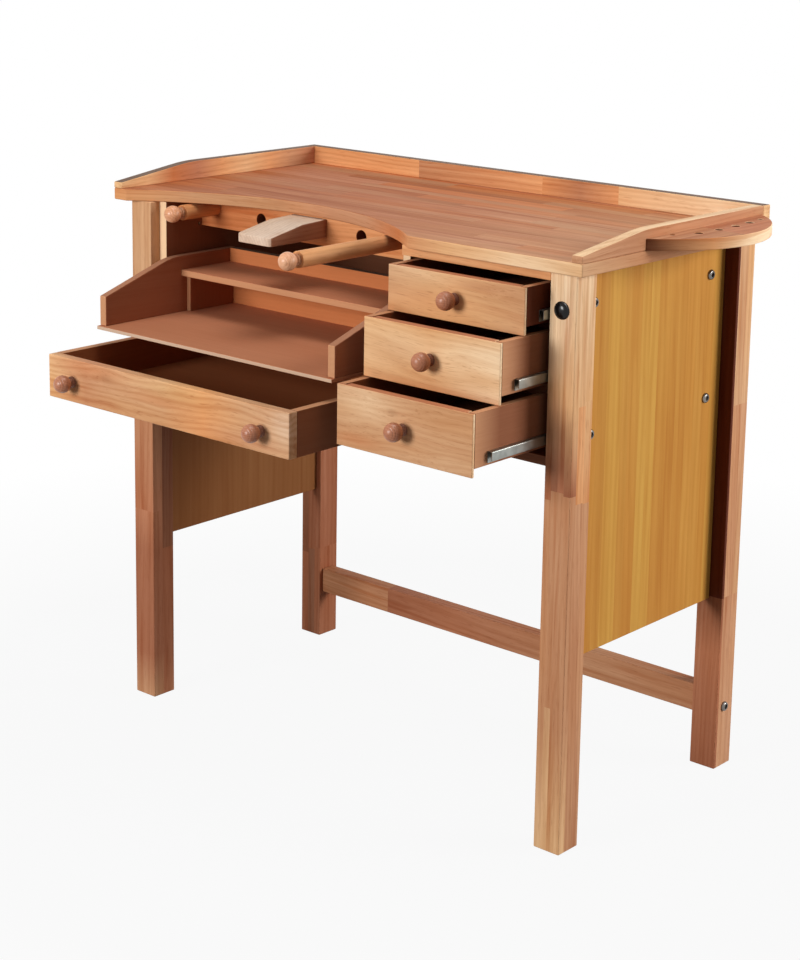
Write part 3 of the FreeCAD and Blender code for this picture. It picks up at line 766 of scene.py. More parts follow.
class Shaper:
    """Edit mode on one mesh, with picks by place and cuts along the frame's axes."""

    def __init__(self, piece: Piece) -> None:
        """Note the piece to shape."""
        self.piece = piece

    def __enter__(self) -> "Shaper":
        """Enter edit mode with everything selected."""
        select_only(self.piece)
        bpy.ops.object.mode_set(mode="EDIT")
        bpy.ops.mesh.select_mode(type="FACE")
        self.all()
        return self

    def __exit__(self, *_: object) -> None:
        """Leave edit mode."""
        bpy.ops.object.mode_set(mode="OBJECT")

    def all(self) -> None:
        """Select the whole mesh."""
        bpy.ops.mesh.select_all(action="SELECT")

    def all_of(self, part: Part) -> None:
        """Select the whole mesh, by one kind of element."""
        bpy.ops.mesh.select_mode(type=part.name)
        self.all()

    def pick(self, part: Part, wanted: Wanted) -> None:
        """Select the elements whose middle is wanted."""
        bpy.ops.mesh.select_mode(type=part.name)
        bpy.ops.mesh.select_all(action="DESELECT")
        mesh = bmesh.from_edit_mesh(self.piece.data)
        for item in getattr(mesh, part.value):
            if wanted(self.middle(item)):
                item.select_set(True)
        mesh.select_flush_mode()
        bmesh.update_edit_mesh(self.piece.data)

    @staticmethod
    def middle(item: object) -> Vector:
        """The middle of a vertex, edge or face."""
        if isinstance(item, bmesh.types.BMVert):
            return item.co
        if isinstance(item, bmesh.types.BMEdge):
            return (item.verts[0].co + item.verts[1].co) / 2
        return item.calc_center_median()

    def slice(self, axis: Axis, place: float, clear_low: bool = False, clear_high: bool = False) -> None:
        """Cut what is selected along a plane, and close it where a side is cleared away."""
        point, normal = Vector(), Vector()
        point[axis], normal[axis] = place, 1.0
        bpy.ops.mesh.bisect(plane_co=point, plane_no=normal, clear_inner=clear_low, clear_outer=clear_high,
                            use_fill=clear_low or clear_high, threshold=FAINT)

    def lift(self, height: float) -> None:
        """Lift what is selected."""
        bpy.ops.transform.translate(value=(0.0, 0.0, height))

    def draw_back(self, length: float) -> None:
        """Draw what is selected out to the back."""
        bpy.ops.mesh.extrude_region_move(TRANSFORM_OT_translate={"value": (0.0, length, 0.0)})

    def round(self, width: float, segments: int) -> None:
        """Round the selected edges."""
        bpy.ops.mesh.bevel(offset=width, segments=segments, affect="EDGES", clamp_overlap=False)

    def tidy(self) -> None:
        """Merge what coincides and point every face outwards."""
        self.all()
        bpy.ops.mesh.remove_doubles(threshold=FAINT)
        bpy.ops.mesh.normals_make_consistent(inside=False)


def block(name: str, low: Place, high: Place) -> Piece:
    """Start a piece as squared stock between two corners."""
    low, high = Vector(low), Vector(high)
    bpy.ops.object.select_all(action="DESELECT")
    bpy.ops.mesh.primitive_cube_add(size=1.0, location=(low + high) / 2, scale=high - low)
    return settle(name)


def rod(name: str, foot: Place, axis: Axis, radius: float, length: float, sides: int) -> Piece:
    """Start a piece as round stock, or as a regular prism with few sides, from a foot along an axis."""
    turns = {Axis.X: (0.0, math.pi / 2, 0.0), Axis.Y: (math.pi / 2, 0.0, 0.0), Axis.Z: (0.0, 0.0, 0.0)}
    middle = Vector(foot)
    middle[axis] += length / 2
    bpy.ops.object.select_all(action="DESELECT")
    bpy.ops.mesh.primitive_cylinder_add(vertices=sides, radius=radius, depth=abs(length), location=middle,
                                        rotation=turns[axis])
    return settle(name)


def settle(name: str) -> Piece:
    """Name the new active piece and put its place into its mesh."""
    piece = bpy.context.object
    piece.name = name
    piece.data.name = name
    bpy.ops.object.transform_apply(location=True, rotation=True, scale=True)
    return piece


def drawn_line(name: str, points: Sequence[Vector]) -> Piece:
    """Start a piece as a line drawn through points, vertex by vertex."""
    bpy.ops.object.select_all(action="DESELECT")
    bpy.ops.mesh.primitive_plane_add(size=MM, location=points[0])
    piece = settle(name)
    with Shaper(piece) as shaper:
        shaper.all_of(Part.VERT)
        bpy.ops.mesh.merge(type="CENTER")
        for before, after in zip(points, points[1:]):
            bpy.ops.mesh.extrude_vertices_move(TRANSFORM_OT_translate={"value": after - before})
    return piece


def turned(name: str, profile: Sequence[Pair], foot: Vector, outward: Vector,
           steps: int) -> Piece:
    """Turn a piece on a lathe.

    Args:
        name: the piece's name.
        profile: pairs of height above the foot and radius, from one end to the other.
        foot: where the lathe's axis meets the face that carries the piece.
        outward: the axis's direction away from that face, along X or Y.
        steps: number of sides.

    Returns:
        The piece, closed and with its faces outwards.
    """
    up = Vector((0.0, 0.0, 1.0))
    points = [Vector(foot) + outward * height + up * radius for height, radius in profile]
    piece = drawn_line(name, points)
    with Shaper(piece) as shaper:
        shaper.all_of(Part.EDGE)
        bpy.ops.mesh.spin(steps=steps, angle=2.0 * math.pi, center=foot, axis=outward)
        shaper.tidy()
    return piece


def carve(piece: Piece, *wastes: Piece) -> None:
    """Take wastes away from a piece."""
    for index, waste in enumerate(wastes):
        modifier = piece.modifiers.new(f"carve_{index}", "BOOLEAN")
        modifier.operation = "DIFFERENCE"
        modifier.solver = "EXACT"
        modifier.object = waste
    apply_modifiers(piece)
    for waste in wastes:
        bpy.data.objects.remove(waste, do_unlink=True)
    with Shaper(piece) as shaper:
        shaper.all()
        bpy.ops.mesh.remove_doubles(threshold=FAINT)
        bpy.ops.mesh.dissolve_limited(angle_limit=LEVEL)


def slope_front(piece: Piece, low: Vector, high: Vector, knee: Pair,
                nose: float) -> None:
    """Slope an upright board down to its front.

    Args:
        piece: the board.
        low: its lowest corner.
        high: its highest corner.
        knee: where the slope starts, in y, and the radius of the round over that place.
        nose: top of the board at its front end, in z.
    """
    turn = math.atan((high.z - nose) / (knee[0] - low.y))
    with Shaper(piece) as shaper:
        shaper.slice(Axis.Y, knee[0])
        shaper.pick(Part.VERT, lambda spot: spot.y < low.y + TINY and spot.z > high.z - TINY)
        shaper.lift(nose - high.z)
        shaper.pick(Part.EDGE, lambda spot: abs(spot.y - knee[0]) < TINY and spot.z > high.z - TINY)
        shaper.round(knee[1] * math.tan(turn / 2), segments=8)


def ease(piece: Piece, width: float, segments: int = 3) -> None:
    """Ease a piece's sharp edges."""
    modifier = piece.modifiers.new("eased_edges", "BEVEL")
    modifier.width = width
    modifier.segments = segments
    modifier.limit_method = "ANGLE"
    modifier.angle_limit = SHARP
    modifier.use_clamp_overlap = False
    apply_modifiers(piece)


def smooth(piece: Piece) -> None:
    """Shade a piece smooth over its eased edges and keep its flat faces flat."""
    select_only(piece)
    bpy.ops.object.shade_smooth_by_angle(angle=SMOOTH)
    modifier = piece.modifiers.new("even_shading", "WEIGHTED_NORMAL")
    modifier.keep_sharp = True
    apply_modifiers(piece)


def copied(model: Piece, name: str, place: Vector, turn: float = 0.0) -> Piece:
    """Copy a model that stands at the origin, mesh and all.

    Args:
        model: the model.
        name: the copy's name.
        place: where the copy stands.
        turn: how far the copy is turned about the upright.

    Returns:
        The copy.
    """
    select_only(model)
    bpy.ops.object.duplicate(linked=False)
    copy = bpy.context.object
    copy.location = place
    copy.rotation_euler.z = turn
    return settle(name)


def glue_up(piece: Piece, layup: Layup, finish: WoodFinish) -> None:
    """Mark a board's seams in its mesh and give each stick its own tone and grain.

    Args:
        piece: the board, already shaped and eased.
        layup: its sticks.
        finish: its finish.
    """
    with Shaper(piece) as shaper:
        for axis, place, stick in layup.cuts():
            if stick is None:
                shaper.all()
            else:
                shaper.pick(Part.FACE, lambda spot: all(
                    stick.low[side] - TINY < spot[side] < stick.high[side] + TINY
                    for side in layup.grain.across()))
            shaper.slice(axis, place)
    smooth(piece)
    mesh = piece.data
    mesh.attributes.new("grain", "FLOAT_VECTOR", "CORNER")
    mesh.attributes.new("tone", "FLOAT_COLOR", "CORNER")
    grain, tone = mesh.attributes["grain"], mesh.attributes["tone"]
    for face in mesh.polygons:
        stick = layup.stick_at(face.normal, face.center)
        for loop in face.loop_indices:
            point = mesh.vertices[mesh.loops[loop].vertex_index].co
            grain.data[loop].vector = stick.fibre_place(point)
            tone.data[loop].color = stick.colour(point)
    mesh.materials.clear()
    mesh.materials.append(finish.material())


def place_on(piece: Piece, body: str, finish: Finish, *nodes: str) -> None:
    """Let a finished piece ride on its body, and stand for the nodes that it is.

    Args:
        piece: the finished piece.
        body: the body that it moves with.
        finish: the finish that it is dressed in; not used.
        nodes: the frame's nodes that it stands for.
    """
    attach(piece, body)
    if nodes:
        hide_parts(*nodes)
    LOG.info("%s rides on %s", piece.name, body)


def dress(piece: Piece, layup: Layup, finish: WoodFinish, body: str, *nodes: str,
          eased: float = 0.8 * MM, segments: int = 3) -> None:
    """Ease a shaped board, glue it up from its sticks and let it ride on its body.

    Args:
        piece: the board, already shaped.
        layup: its sticks.
        finish: its finish.
        body: the body that it moves with.
        nodes: the frame's nodes that it stands for.
        eased: width of its eased edges.
        segments: number of facets across an eased edge.
    """
    ease(piece, eased, segments)
    glue_up(piece, layup, finish)
    place_on(piece, body, finish, *nodes)


def coat(piece: Piece, finish: Finish, body: str, *nodes: str) -> None:
    """Give a piece that isn't wood its finish and let it ride on its body."""
    smooth(piece)
    piece.data.materials.clear()
    piece.data.materials.append(finish.material())
    place_on(piece, body, finish, *nodes)


def solids(node: str) -> List[Tuple[Vector, Vector]]:
    """Corners of each separate solid of a node, ordered by x, then y, then z."""
    mesh = bmesh.new()
    mesh.from_mesh(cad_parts[node].data)
    bmesh.ops.remove_doubles(mesh, verts=mesh.verts, dist=TINY)
    left = set(mesh.verts)
    found = []
    while left:
        shell = [left.pop()]
        for vert in shell:
            for edge in vert.link_edges:
                other = edge.other_vert(vert)
                if other in left:
                    left.remove(other)
                    shell.append(other)
        low = Vector(tuple(min(vert.co[axis] for vert in shell) for axis in Axis))
        high = Vector(tuple(max(vert.co[axis] for vert in shell) for axis in Axis))
        found.append((low, high))
    mesh.free()
    return sorted(found, key=lambda box: tuple(round(value, 4) for value in box[0]))


@dataclass(frozen=True)
class Boards:
    """The squared boards of one node, each cut from one piece of wood.

    Attributes:
        node: the node that holds them.
        grain: the axis that their fibres run along.
        tone: their tone; the dark default, which the cabinet's inner boards keep, is partly painted shade.
        edges: tests of a face, each with the tones of the faces that it picks.
        finish: their finish.
        eased: width of their eased edges.
        bore: axis, mouth, radius and depth of a small hole in them, if they have one.
    """

    node: str
    grain: Axis
    tone: Tone = Tone.UMBER
    edges: Tuple[Tuple[object, ...], ...] = ()
    finish: WoodFinish = STAINED_BOARD
    eased: float = 0.8 * MM
    bore: Optional[Tuple[Axis, Triple, float, float]] = None

    def build(self, body: str, seed: int) -> None:
        """Make the boards and let them ride on a body."""
        for index, (low, high) in enumerate(solids(self.node)):
            piece = block(f"{self.node}_board_{index + 1}", low, high)
            if self.bore:
                axis, mouth, radius, depth = self.bore
                carve(piece, rod("bore_waste", mouth, axis, radius, depth, sides=24))
            layup = Layup(low, high, self.grain, seed * 10 + index).whole(self.tone)
            for picks, *tones in self.edges:
                layup.facing(picks, *tones)
            dress(piece, layup, self.finish, body, self.node, eased=self.eased)


# --------------------------------------------------------------------------- sub-assemblies


@dataclass
class Worktop:
    """Top board with its scallop, the rails round it, and the tool holder.

    Attributes:
        scallop: centre of the scallop's arc, x and y.
        scallop_radius: radius of that arc.
        rail_nose: height of the side rails at their front end.
        rail_knee: where the side rails reach their full height, in y, and the radius there.
        holder_centre: centre of the tool holder's round edge, x and y.
        holder_radius: radius of that edge.
        holes: the holder's holes, each x, y and radius.
    """

    scallop: Pair = (-0.150, -0.6424)
    scallop_radius: float = 0.4994
    rail_nose: float = 0.0105
    rail_knee: Pair = (-0.099, 0.300)
    holder_centre: Pair = (0.387, 0.057)
    holder_radius: float = 0.196
    holes: Tuple[Triple, ...] = (
        (0.507, -0.045, 0.004), (0.526, -0.003, 0.0065), (0.530, 0.046, 0.0065),
        (0.530, 0.093, 0.0065), (0.527, 0.137, 0.0065), (0.522, 0.177, 0.004),
    )

    def build(self) -> None:
        """Build every piece of the worktop."""
        self.top()
        self.back_rail()
        # The first tone given to each side rail is its top face's: the left rail's slate top is painted
        # shade.
        self.side_rail("left_rail", 31, Tone.SLATE, Tone.HONEY, Tone.HONEY, Tone.CORAL, Tone.ROSE, Tone.PEACH,
                       Tone.HONEY, Tone.PEACH, Tone.TAN, Tone.ROSE)
        self.side_rail("right_rail", 32, Tone.CREAM, Tone.TAN, Tone.CHESTNUT, Tone.TAN, Tone.CHESTNUT,
                       Tone.TAN)
        self.tool_holder()
        self.screws()

    def top(self) -> None:
        """The top board, with the scallop cut out of its front edge."""
        low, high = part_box("bench_top")
        piece = block("top_board", low, high)
        length = high.z - low.z + 2.0 * CLEAR
        carve(piece, rod("scallop_waste", (*self.scallop, low.z - CLEAR), Axis.Z, self.scallop_radius, length,
                         sides=300))
        layup = Layup(low, high, Axis.X, seed=11, fine=0.06)
        layup.strips(Axis.Y, count=15, length=0.40, jitter=0.07,
                     tones=(Tone.ROSE, Tone.CORAL, Tone.SIENNA, Tone.CHESTNUT))
        layup.blush(Tone.SIENNA, (0.0, -0.06, high.z), (0.50, 0.17, 1.0), 0.35)
        layup.blush(Tone.SIENNA, (-0.44, -0.16, high.z), (0.50, 0.24, 1.0), 0.7)
        layup.blush(Tone.SAND, (0.46, -0.02, high.z), (0.34, 0.40, 1.0), 0.5)
        layup.facing(faces_right, Tone.SAND, Tone.TAN, Tone.SAND, Tone.ROSE, grain=Axis.Y)
        layup.facing(is_edge, Tone.PEACH, Tone.SAND, Tone.SAND, Tone.CHESTNUT, Tone.CHESTNUT, Tone.CORAL,
                     Tone.HONEY, Tone.CREAM, Tone.HONEY, flat=Axis.Y)
        dress(piece, layup, RUBBERWOOD, "bench", "bench_top", eased=2.2 * MM, segments=4)

    @staticmethod
    def back_rail() -> None:
        """The rail along the back edge."""
        low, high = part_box("back_rail")
        layup = Layup(low, high, Axis.X, seed=12)
        layup.column({}, [(low.x, Tone.PEACH), (-0.22, Tone.PEACH)], [(-0.22, Tone.TAN), (0.06, Tone.PEACH)],
                     [(0.06, Tone.PEACH), (0.14, Tone.CHESTNUT), (0.22, Tone.PEACH)],
                     [(0.22, Tone.HONEY), (0.42, Tone.CREAM), (high.x, Tone.HONEY)])
        # The slate top face is painted shade.
        layup.facing(faces_up, Tone.SLATE)
        dress(block("rail_back", low, high), layup, RUBBERWOOD, "bench", "back_rail", eased=1.5 * MM)

    def side_rail(self, node: str, seed: int, edge: Tone, *tones: Tone) -> None:
        """A side rail, sloped down to a low nose in front, its tones from front to back."""
        low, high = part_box(node)
        piece = block(f"rail_{node[:-5]}", low, high)
        slope_front(piece, low, high, self.rail_knee, low.z + self.rail_nose)
        layup = Layup(low, high, Axis.Y, seed).whole(*tones)
        # The top face gets its own tone, which on the left rail is painted shade.
        layup.facing(faces_up, edge)
        dress(piece, layup, RUBBERWOOD, "bench", node, eased=1.5 * MM)

    def tool_holder(self) -> None:
        """The half-round tool holder with its row of holes."""
        low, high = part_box("tool_holder")
        piece = rod("tool_holder_board", (*self.holder_centre, low.z), Axis.Z, self.holder_radius,
                    high.z - low.z, sides=200)
        with Shaper(piece) as shaper:
            for axis, place, clear in ((Axis.X, low.x, True), (Axis.Y, low.y, True), (Axis.Y, high.y, False)):
                shaper.all()
                shaper.slice(axis, place, clear_low=clear, clear_high=not clear)
        carve(piece, *(rod("hole_waste", (x, y, low.z - CLEAR), Axis.Z, radius, 4.0 * CLEAR, sides=28)
                       for x, y, radius in self.holes))
        layup = Layup(low, high, Axis.Y, seed=14)
        layup.strips(Axis.X, count=2, length=0.19, tones=(Tone.CHESTNUT, Tone.ROSE))
        # The bark walls of the holes are painted shade.
        for x, y, radius in self.holes:
            layup.facing(in_hole(Axis.Z, (x, y), radius), Tone.BARK)
        # The round edge runs from cocoa in front to cream behind: painted shadow of the right rail in front,
        # painted light behind.
        layup.facing(is_edge, Tone.COCOA, Tone.PEACH, Tone.CREAM, Tone.CREAM, Tone.CREAM, flat=Axis.X)
        dress(piece, layup, RUBBERWOOD, "bench", "tool_holder", eased=1.2 * MM)

    @staticmethod
    def screws() -> None:
        """The screws that hold the tool holder, seen from inside the rail."""
        boxes = solids("tool_holder_screws")
        low, high = boxes[0]
        seat, head, shank = 2.5 * MM, 4.0 * MM, 2.0 * MM
        tip = low.x + seat - high.x
        profile = ((seat, 0.0), (seat, 0.65 * head), (0.8 * seat, 0.9 * head), (0.0, head), (0.0, shank),
                   (tip, shank), (tip, 0.0))
        model = turned("screw_model", profile, Vector(), Vector((-1.0, 0.0, 0.0)), steps=32)
        for index, (low, high) in enumerate(boxes, start=1):
            place = Vector((low.x + seat, (low.y + high.y) / 2, (low.z + high.z) / 2))
            coat(copied(model, f"holder_screw_{index}", place), BOLT_STEEL, "bench", "tool_holder_screws")
        bpy.data.objects.remove(model)


@dataclass
class Undercarriage:
    """Legs, stretcher and the hardware on them.

    Attributes:
        eased: width of the legs' eased edges.
        cap_profile: half profile of the domed cap, height and radius.
    """

    eased: float = 1.6 * MM
    cap_profile: Tuple[Pair, ...] = (
        (-0.014, 0.0), (-0.014, 0.004), (0.0, 0.004), (0.0, 0.0131), (0.0004, 0.0135), (0.0011, 0.0135),
        (0.0016, 0.0131), (0.0018, 0.0119), (0.0026, 0.0115), (0.0040, 0.0098), (0.0051, 0.0073),
        (0.0057, 0.0043), (0.0060, 0.0),
    )

    def build(self) -> None:
        """Build the legs, the stretcher, its bolts and the cap."""
        self.front_right()
        self.front_left()
        self.rear_right()
        self.rear_left()
        self.stretcher()
        self.cap()
        Bolts("stretcher_bolts").build()

    def leg(self, node: str, layup: Layup) -> None:
        """Square up one leg and dress it."""
        piece = block(f"{node}_post", layup.low, layup.high)
        dress(piece, layup, RUBBERWOOD, "bench", node, eased=self.eased)

    def front_right(self) -> None:
        """The front right leg: a dark stretch above the middle, paler sticks below."""
        low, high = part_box("leg_front_right")
        layup = Layup(low, high, Axis.Z, seed=21)
        x = [low.x, low.x + 0.0125, low.x + 0.024, low.x + 0.0355, high.x]
        y = [low.y, low.y + 0.014, low.y + 0.031, high.y]
        upper = ((0.660, Tone.TAN), (0.720, Tone.HONEY), (0.800, Tone.CREAM), (high.z, Tone.CREAM))
        front = (
            ([(0.0, Tone.HONEY), (0.20, Tone.TAN), (0.555, Tone.TAN)],
             [(0.555, Tone.ROSE), (0.610, Tone.ROSE), *upper]),
            ([(0.0, Tone.HONEY), (0.231, Tone.SAND)], [(0.231, Tone.TAN), (0.570, Tone.TAN)],
             [(0.570, Tone.RUSSET), (0.610, Tone.ROSE), *upper]),
            ([(0.0, Tone.HONEY), (0.20, Tone.TAN), (0.570, Tone.TAN)],
             [(0.570, Tone.ROSE), (0.610, Tone.ROSE), *upper]),
            ([(0.0, Tone.HONEY), (0.20, Tone.TAN), (0.566, Tone.TAN)],
             [(0.566, Tone.RUSSET), (0.600, Tone.CHESTNUT), (0.700, Tone.HONEY), (high.z, Tone.CREAM)]),
        )
        for column, pieces in enumerate(front):
            layup.column({Axis.X: (x[column], x[column + 1]), Axis.Y: (y[0], y[1])}, *pieces)
        layup.blush(Tone.CORAL, (low.x + 0.012, low.y, 0.74), (0.009, 1.0, 0.035), 0.6)
        layup.blush(Tone.ROSE, (low.x + 0.034, low.y, 0.80), (0.008, 1.0, 0.030), 0.5)
        side = (
            ([(0.0, Tone.TAN), (0.300, Tone.CHESTNUT), (0.552, Tone.TAN)],
             [(0.552, Tone.PEACH), (0.700, Tone.PEACH)], [(0.700, Tone.HONEY), (high.z, Tone.CREAM)]),
            ([(0.0, Tone.CHESTNUT), (0.30, Tone.TAN), (0.550, Tone.TAN)],
             [(0.550, Tone.PEACH), (0.706, Tone.HONEY)], [(0.706, Tone.HONEY), (high.z, Tone.CREAM)]),
        )
        for column, pieces in enumerate(side, start=1):
            layup.column({Axis.X: (x[0], x[-1]), Axis.Y: (y[column], y[column + 1])}, *pieces)
        self.leg("leg_front_right", layup)

    def front_left(self) -> None:
        """The front left leg: honey above, reddish below."""
        low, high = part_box("leg_front_left")
        layup = Layup(low, high, Axis.Z, seed=22)
        halfway = low.y + 0.022
        layup.column({Axis.Y: (low.y, halfway)},
                     [(0.0, Tone.TAN), (0.08, Tone.RUSSET), (0.275, Tone.RUSSET), (0.346, Tone.ROSE)],
                     [(0.346, Tone.ROSE), (0.60, Tone.TAN), (0.75, Tone.SAND), (high.z, Tone.SAND)])
        layup.column({Axis.Y: (halfway, high.y)},
                     [(0.0, Tone.ROSE), (0.08, Tone.RUSSET), (0.275, Tone.RUSSET)],
                     [(0.275, Tone.UMBER), (0.60, Tone.UMBER)],
                     [(0.60, Tone.RUSSET), (high.z, Tone.UMBER)])
        self.leg("leg_front_left", layup)

    def rear_right(self) -> None:
        """The rear right leg, its front face painted dark red-brown shade above the panel's lower edge."""
        low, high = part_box("leg_rear_right")
        layup = Layup(low, high, Axis.Z, seed=23)
        front, halfway = low.y + 0.006, low.y + 0.030
        # Bark above the panel's lower edge is painted shade between the panel and the leg.
        layup.column({Axis.Y: (low.y, front)}, [(0.0, Tone.RUSSET), (0.20, Tone.ROSE), (0.299, Tone.UMBER)],
                     [(0.299, Tone.BARK), (high.z, Tone.BARK)])
        layup.column({Axis.Y: (front, halfway)}, [(0.0, Tone.TAN), (0.30, Tone.CHESTNUT)],
                     [(0.30, Tone.TAN), (0.625, Tone.TAN)], [(0.625, Tone.SAND), (high.z, Tone.SAND)])
        layup.column({Axis.Y: (halfway, high.y)}, [(0.0, Tone.CHESTNUT), (0.30, Tone.TAN)],
                     [(0.30, Tone.SAND), (0.625, Tone.TAN)], [(0.625, Tone.SAND), (high.z, Tone.HONEY)])
        self.leg("leg_rear_right", layup)

    def rear_left(self) -> None:
        """The rear left leg."""
        layup = Layup(*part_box("leg_rear_left"), Axis.Z, seed=24)
        layup.strips(Axis.X, count=3, length=0.42, tones=(Tone.RUSSET, Tone.UMBER, Tone.RUSSET))
        self.leg("leg_rear_left", layup)

    def stretcher(self) -> None:
        """The rear stretcher, reddish with a paler stretch."""
        low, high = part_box("rear_stretcher")
        layup = Layup(low, high, Axis.X, seed=25)
        layup.column({}, [(low.x, Tone.CHESTNUT), (-0.26, Tone.CHESTNUT)],
                     [(-0.26, Tone.RUSSET), (-0.10, Tone.ROSE), (0.18, Tone.CHESTNUT)],
                     [(0.18, Tone.TAN), (high.x, Tone.CHESTNUT)])
        piece = block("stretcher_board", low, high)
        dress(piece, layup, RUBBERWOOD, "bench", "rear_stretcher", eased=self.eased)

    def cap(self) -> None:
        """The black domed cap on the front right leg."""
        low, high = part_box("leg_cap")
        leg_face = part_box("leg_front_right")[0].y
        foot = Vector(((low.x + high.x) / 2, leg_face, (low.z + high.z) / 2))
        piece = turned("leg_cap_dome", self.cap_profile, foot, Vector((0.0, -1.0, 0.0)), steps=64)
        coat(piece, CAP_PLASTIC, "bench", "leg_cap")


@dataclass
class Bolts:
    """Bolts with a low round head and a hexagon socket, modelled once and copied.

    Attributes:
        node: the node that holds them.
        head: height of the head.
        shank: radius of the shank.
        socket: radius over the socket's corners.
        depth: depth of the socket.
        crown: half profile of the head, as shares of its height and radius.
    """

    node: str
    head: float = 4.5 * MM
    shank: float = 3.0 * MM
    socket: float = 4.4 * MM
    depth: float = 3.0 * MM
    crown: Tuple[Pair, ...] = ((1.0, 0.0), (1.0, 0.66), (0.92, 0.80), (0.68, 0.93), (0.40, 1.0), (0.0, 1.0))

    def build(self) -> None:
        """Put a copy of the bolt where each of the node's solids is."""
        boxes = solids(self.node)
        model = self.model(*boxes[0])
        for index, (low, high) in enumerate(boxes, start=1):
            outward = math.copysign(1.0, low.x + high.x)
            crown = high.x if outward > 0.0 else low.x
            place = Vector((crown - outward * self.head, (low.y + high.y) / 2, (low.z + high.z) / 2))
            piece = copied(model, f"{self.node[:-1]}_{index}", place, 0.0 if outward > 0.0 else math.pi)
            coat(piece, BOLT_STEEL, "bench", self.node)
        bpy.data.objects.remove(model)

    def model(self, low: Vector, high: Vector) -> Piece:
        """Turn the bolt that the copies are made from, its head's foot at the origin."""
        radius = (high.y - low.y) / 2
        head, shank = self.head, self.shank
        tip = -(high.x - low.x - head)
        crown = [(head * up, radius * out) for up, out in self.crown]
        profile = (*crown, (0.0, shank), (tip + MM, shank), (tip, shank - MM), (tip, 0.0))
        piece = turned("bolt_model", profile, Vector(), Vector((1.0, 0.0, 0.0)), steps=48)
        bottom = (head - self.depth, 0.0, 0.0)
        carve(piece, rod("socket_waste", bottom, Axis.X, self.socket, self.depth * 2, sides=6))
        return piece


@dataclass
class Cabinet:
    """Panels, walls, divider and runners between the legs.

    Attributes:
        bands: number of bands in a side panel's veneer.
        spare: mouth of the spare hole in the left inner panel.
        spare_radius: radius of that hole.
    """

    bands: int = 15
    spare: Triple = (-0.4175, -0.1413, 0.8547)
    spare_radius: float = 2.6 * MM

    def build(self) -> None:
        """Build every board of the cabinet, and its bolts."""
        self.side_panel("side_panel_right", 41, Tone.GOLD, Tone.AMBER, Tone.GOLD, Tone.STRAW)
        self.side_panel("side_panel_left", 42, Tone.GOLD, Tone.AMBER, Tone.GOLD)
        pale = (faces_front, Tone.CREAM)
        # The bark wall of the spare hole is painted shade.
        bored = (in_hole(Axis.X, self.spare[1:], self.spare_radius), Tone.BARK)
        # The inner boards keep the dark umber default: their own tone darkened by painted shade of the
        # cabinet's inside.
        boards = (
            Boards("back_panel", Axis.X),
            Boards("case_wall_left", Axis.Z),
            Boards("case_wall_right", Axis.Z),
            Boards("left_inner_panel", Axis.Z, edges=(pale, bored),
                   bore=(Axis.X, self.spare, self.spare_radius, 10.0 * MM)),
            Boards("centre_divider", Axis.Z, edges=(pale,)),
            Boards("case_bottom", Axis.X),
            Boards("front_rail", Axis.X, Tone.PEACH, finish=RUBBERWOOD),
            Boards("tray_runners", Axis.Y, Tone.ROSE, finish=RUBBERWOOD),
            Boards("wide_drawer_runners", Axis.Y, Tone.ROSE, finish=RUBBERWOOD),
        )
        for seed, board in enumerate(boards, start=50):
            board.build("bench", seed)
        Bolts("panel_bolts").build()
        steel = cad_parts["case_slides"]
        steel.data.materials.clear()
        steel.data.materials.append(SLIDE_STEEL.material())

    def side_panel(self, node: str, seed: int, *tones: Tone) -> None:
        """A golden side panel with soft upright bands, yellower in its upper middle."""
        low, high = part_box(node)
        layup = Layup(low, high, Axis.Z, seed, fine=0.05)
        layup.strips(Axis.Y, count=self.bands, length=4.0, tones=tones, uneven=0.35, jitter=0.03)
        layup.blush(Tone.STRAW, (low.x, 0.0, 0.78), (1.0, 0.10, 0.30), 0.6)
        # The amber patches at the front and back ends are painted shade beside the legs.
        layup.blush(Tone.AMBER, (low.x, low.y, 0.45), (1.0, 0.10, 0.40), 0.4)
        layup.blush(Tone.AMBER, (low.x, high.y, 0.45), (1.0, 0.09, 0.50), 0.4)
        # The ochre inner face is its own tone darkened by painted shade inside the bench.
        layup.facing(lambda normal, middle: normal.x * low.x < -0.3, Tone.OCHRE)
        dress(block(f"{node}_board", low, high), layup, GOLDEN_VENEER, "bench", node)


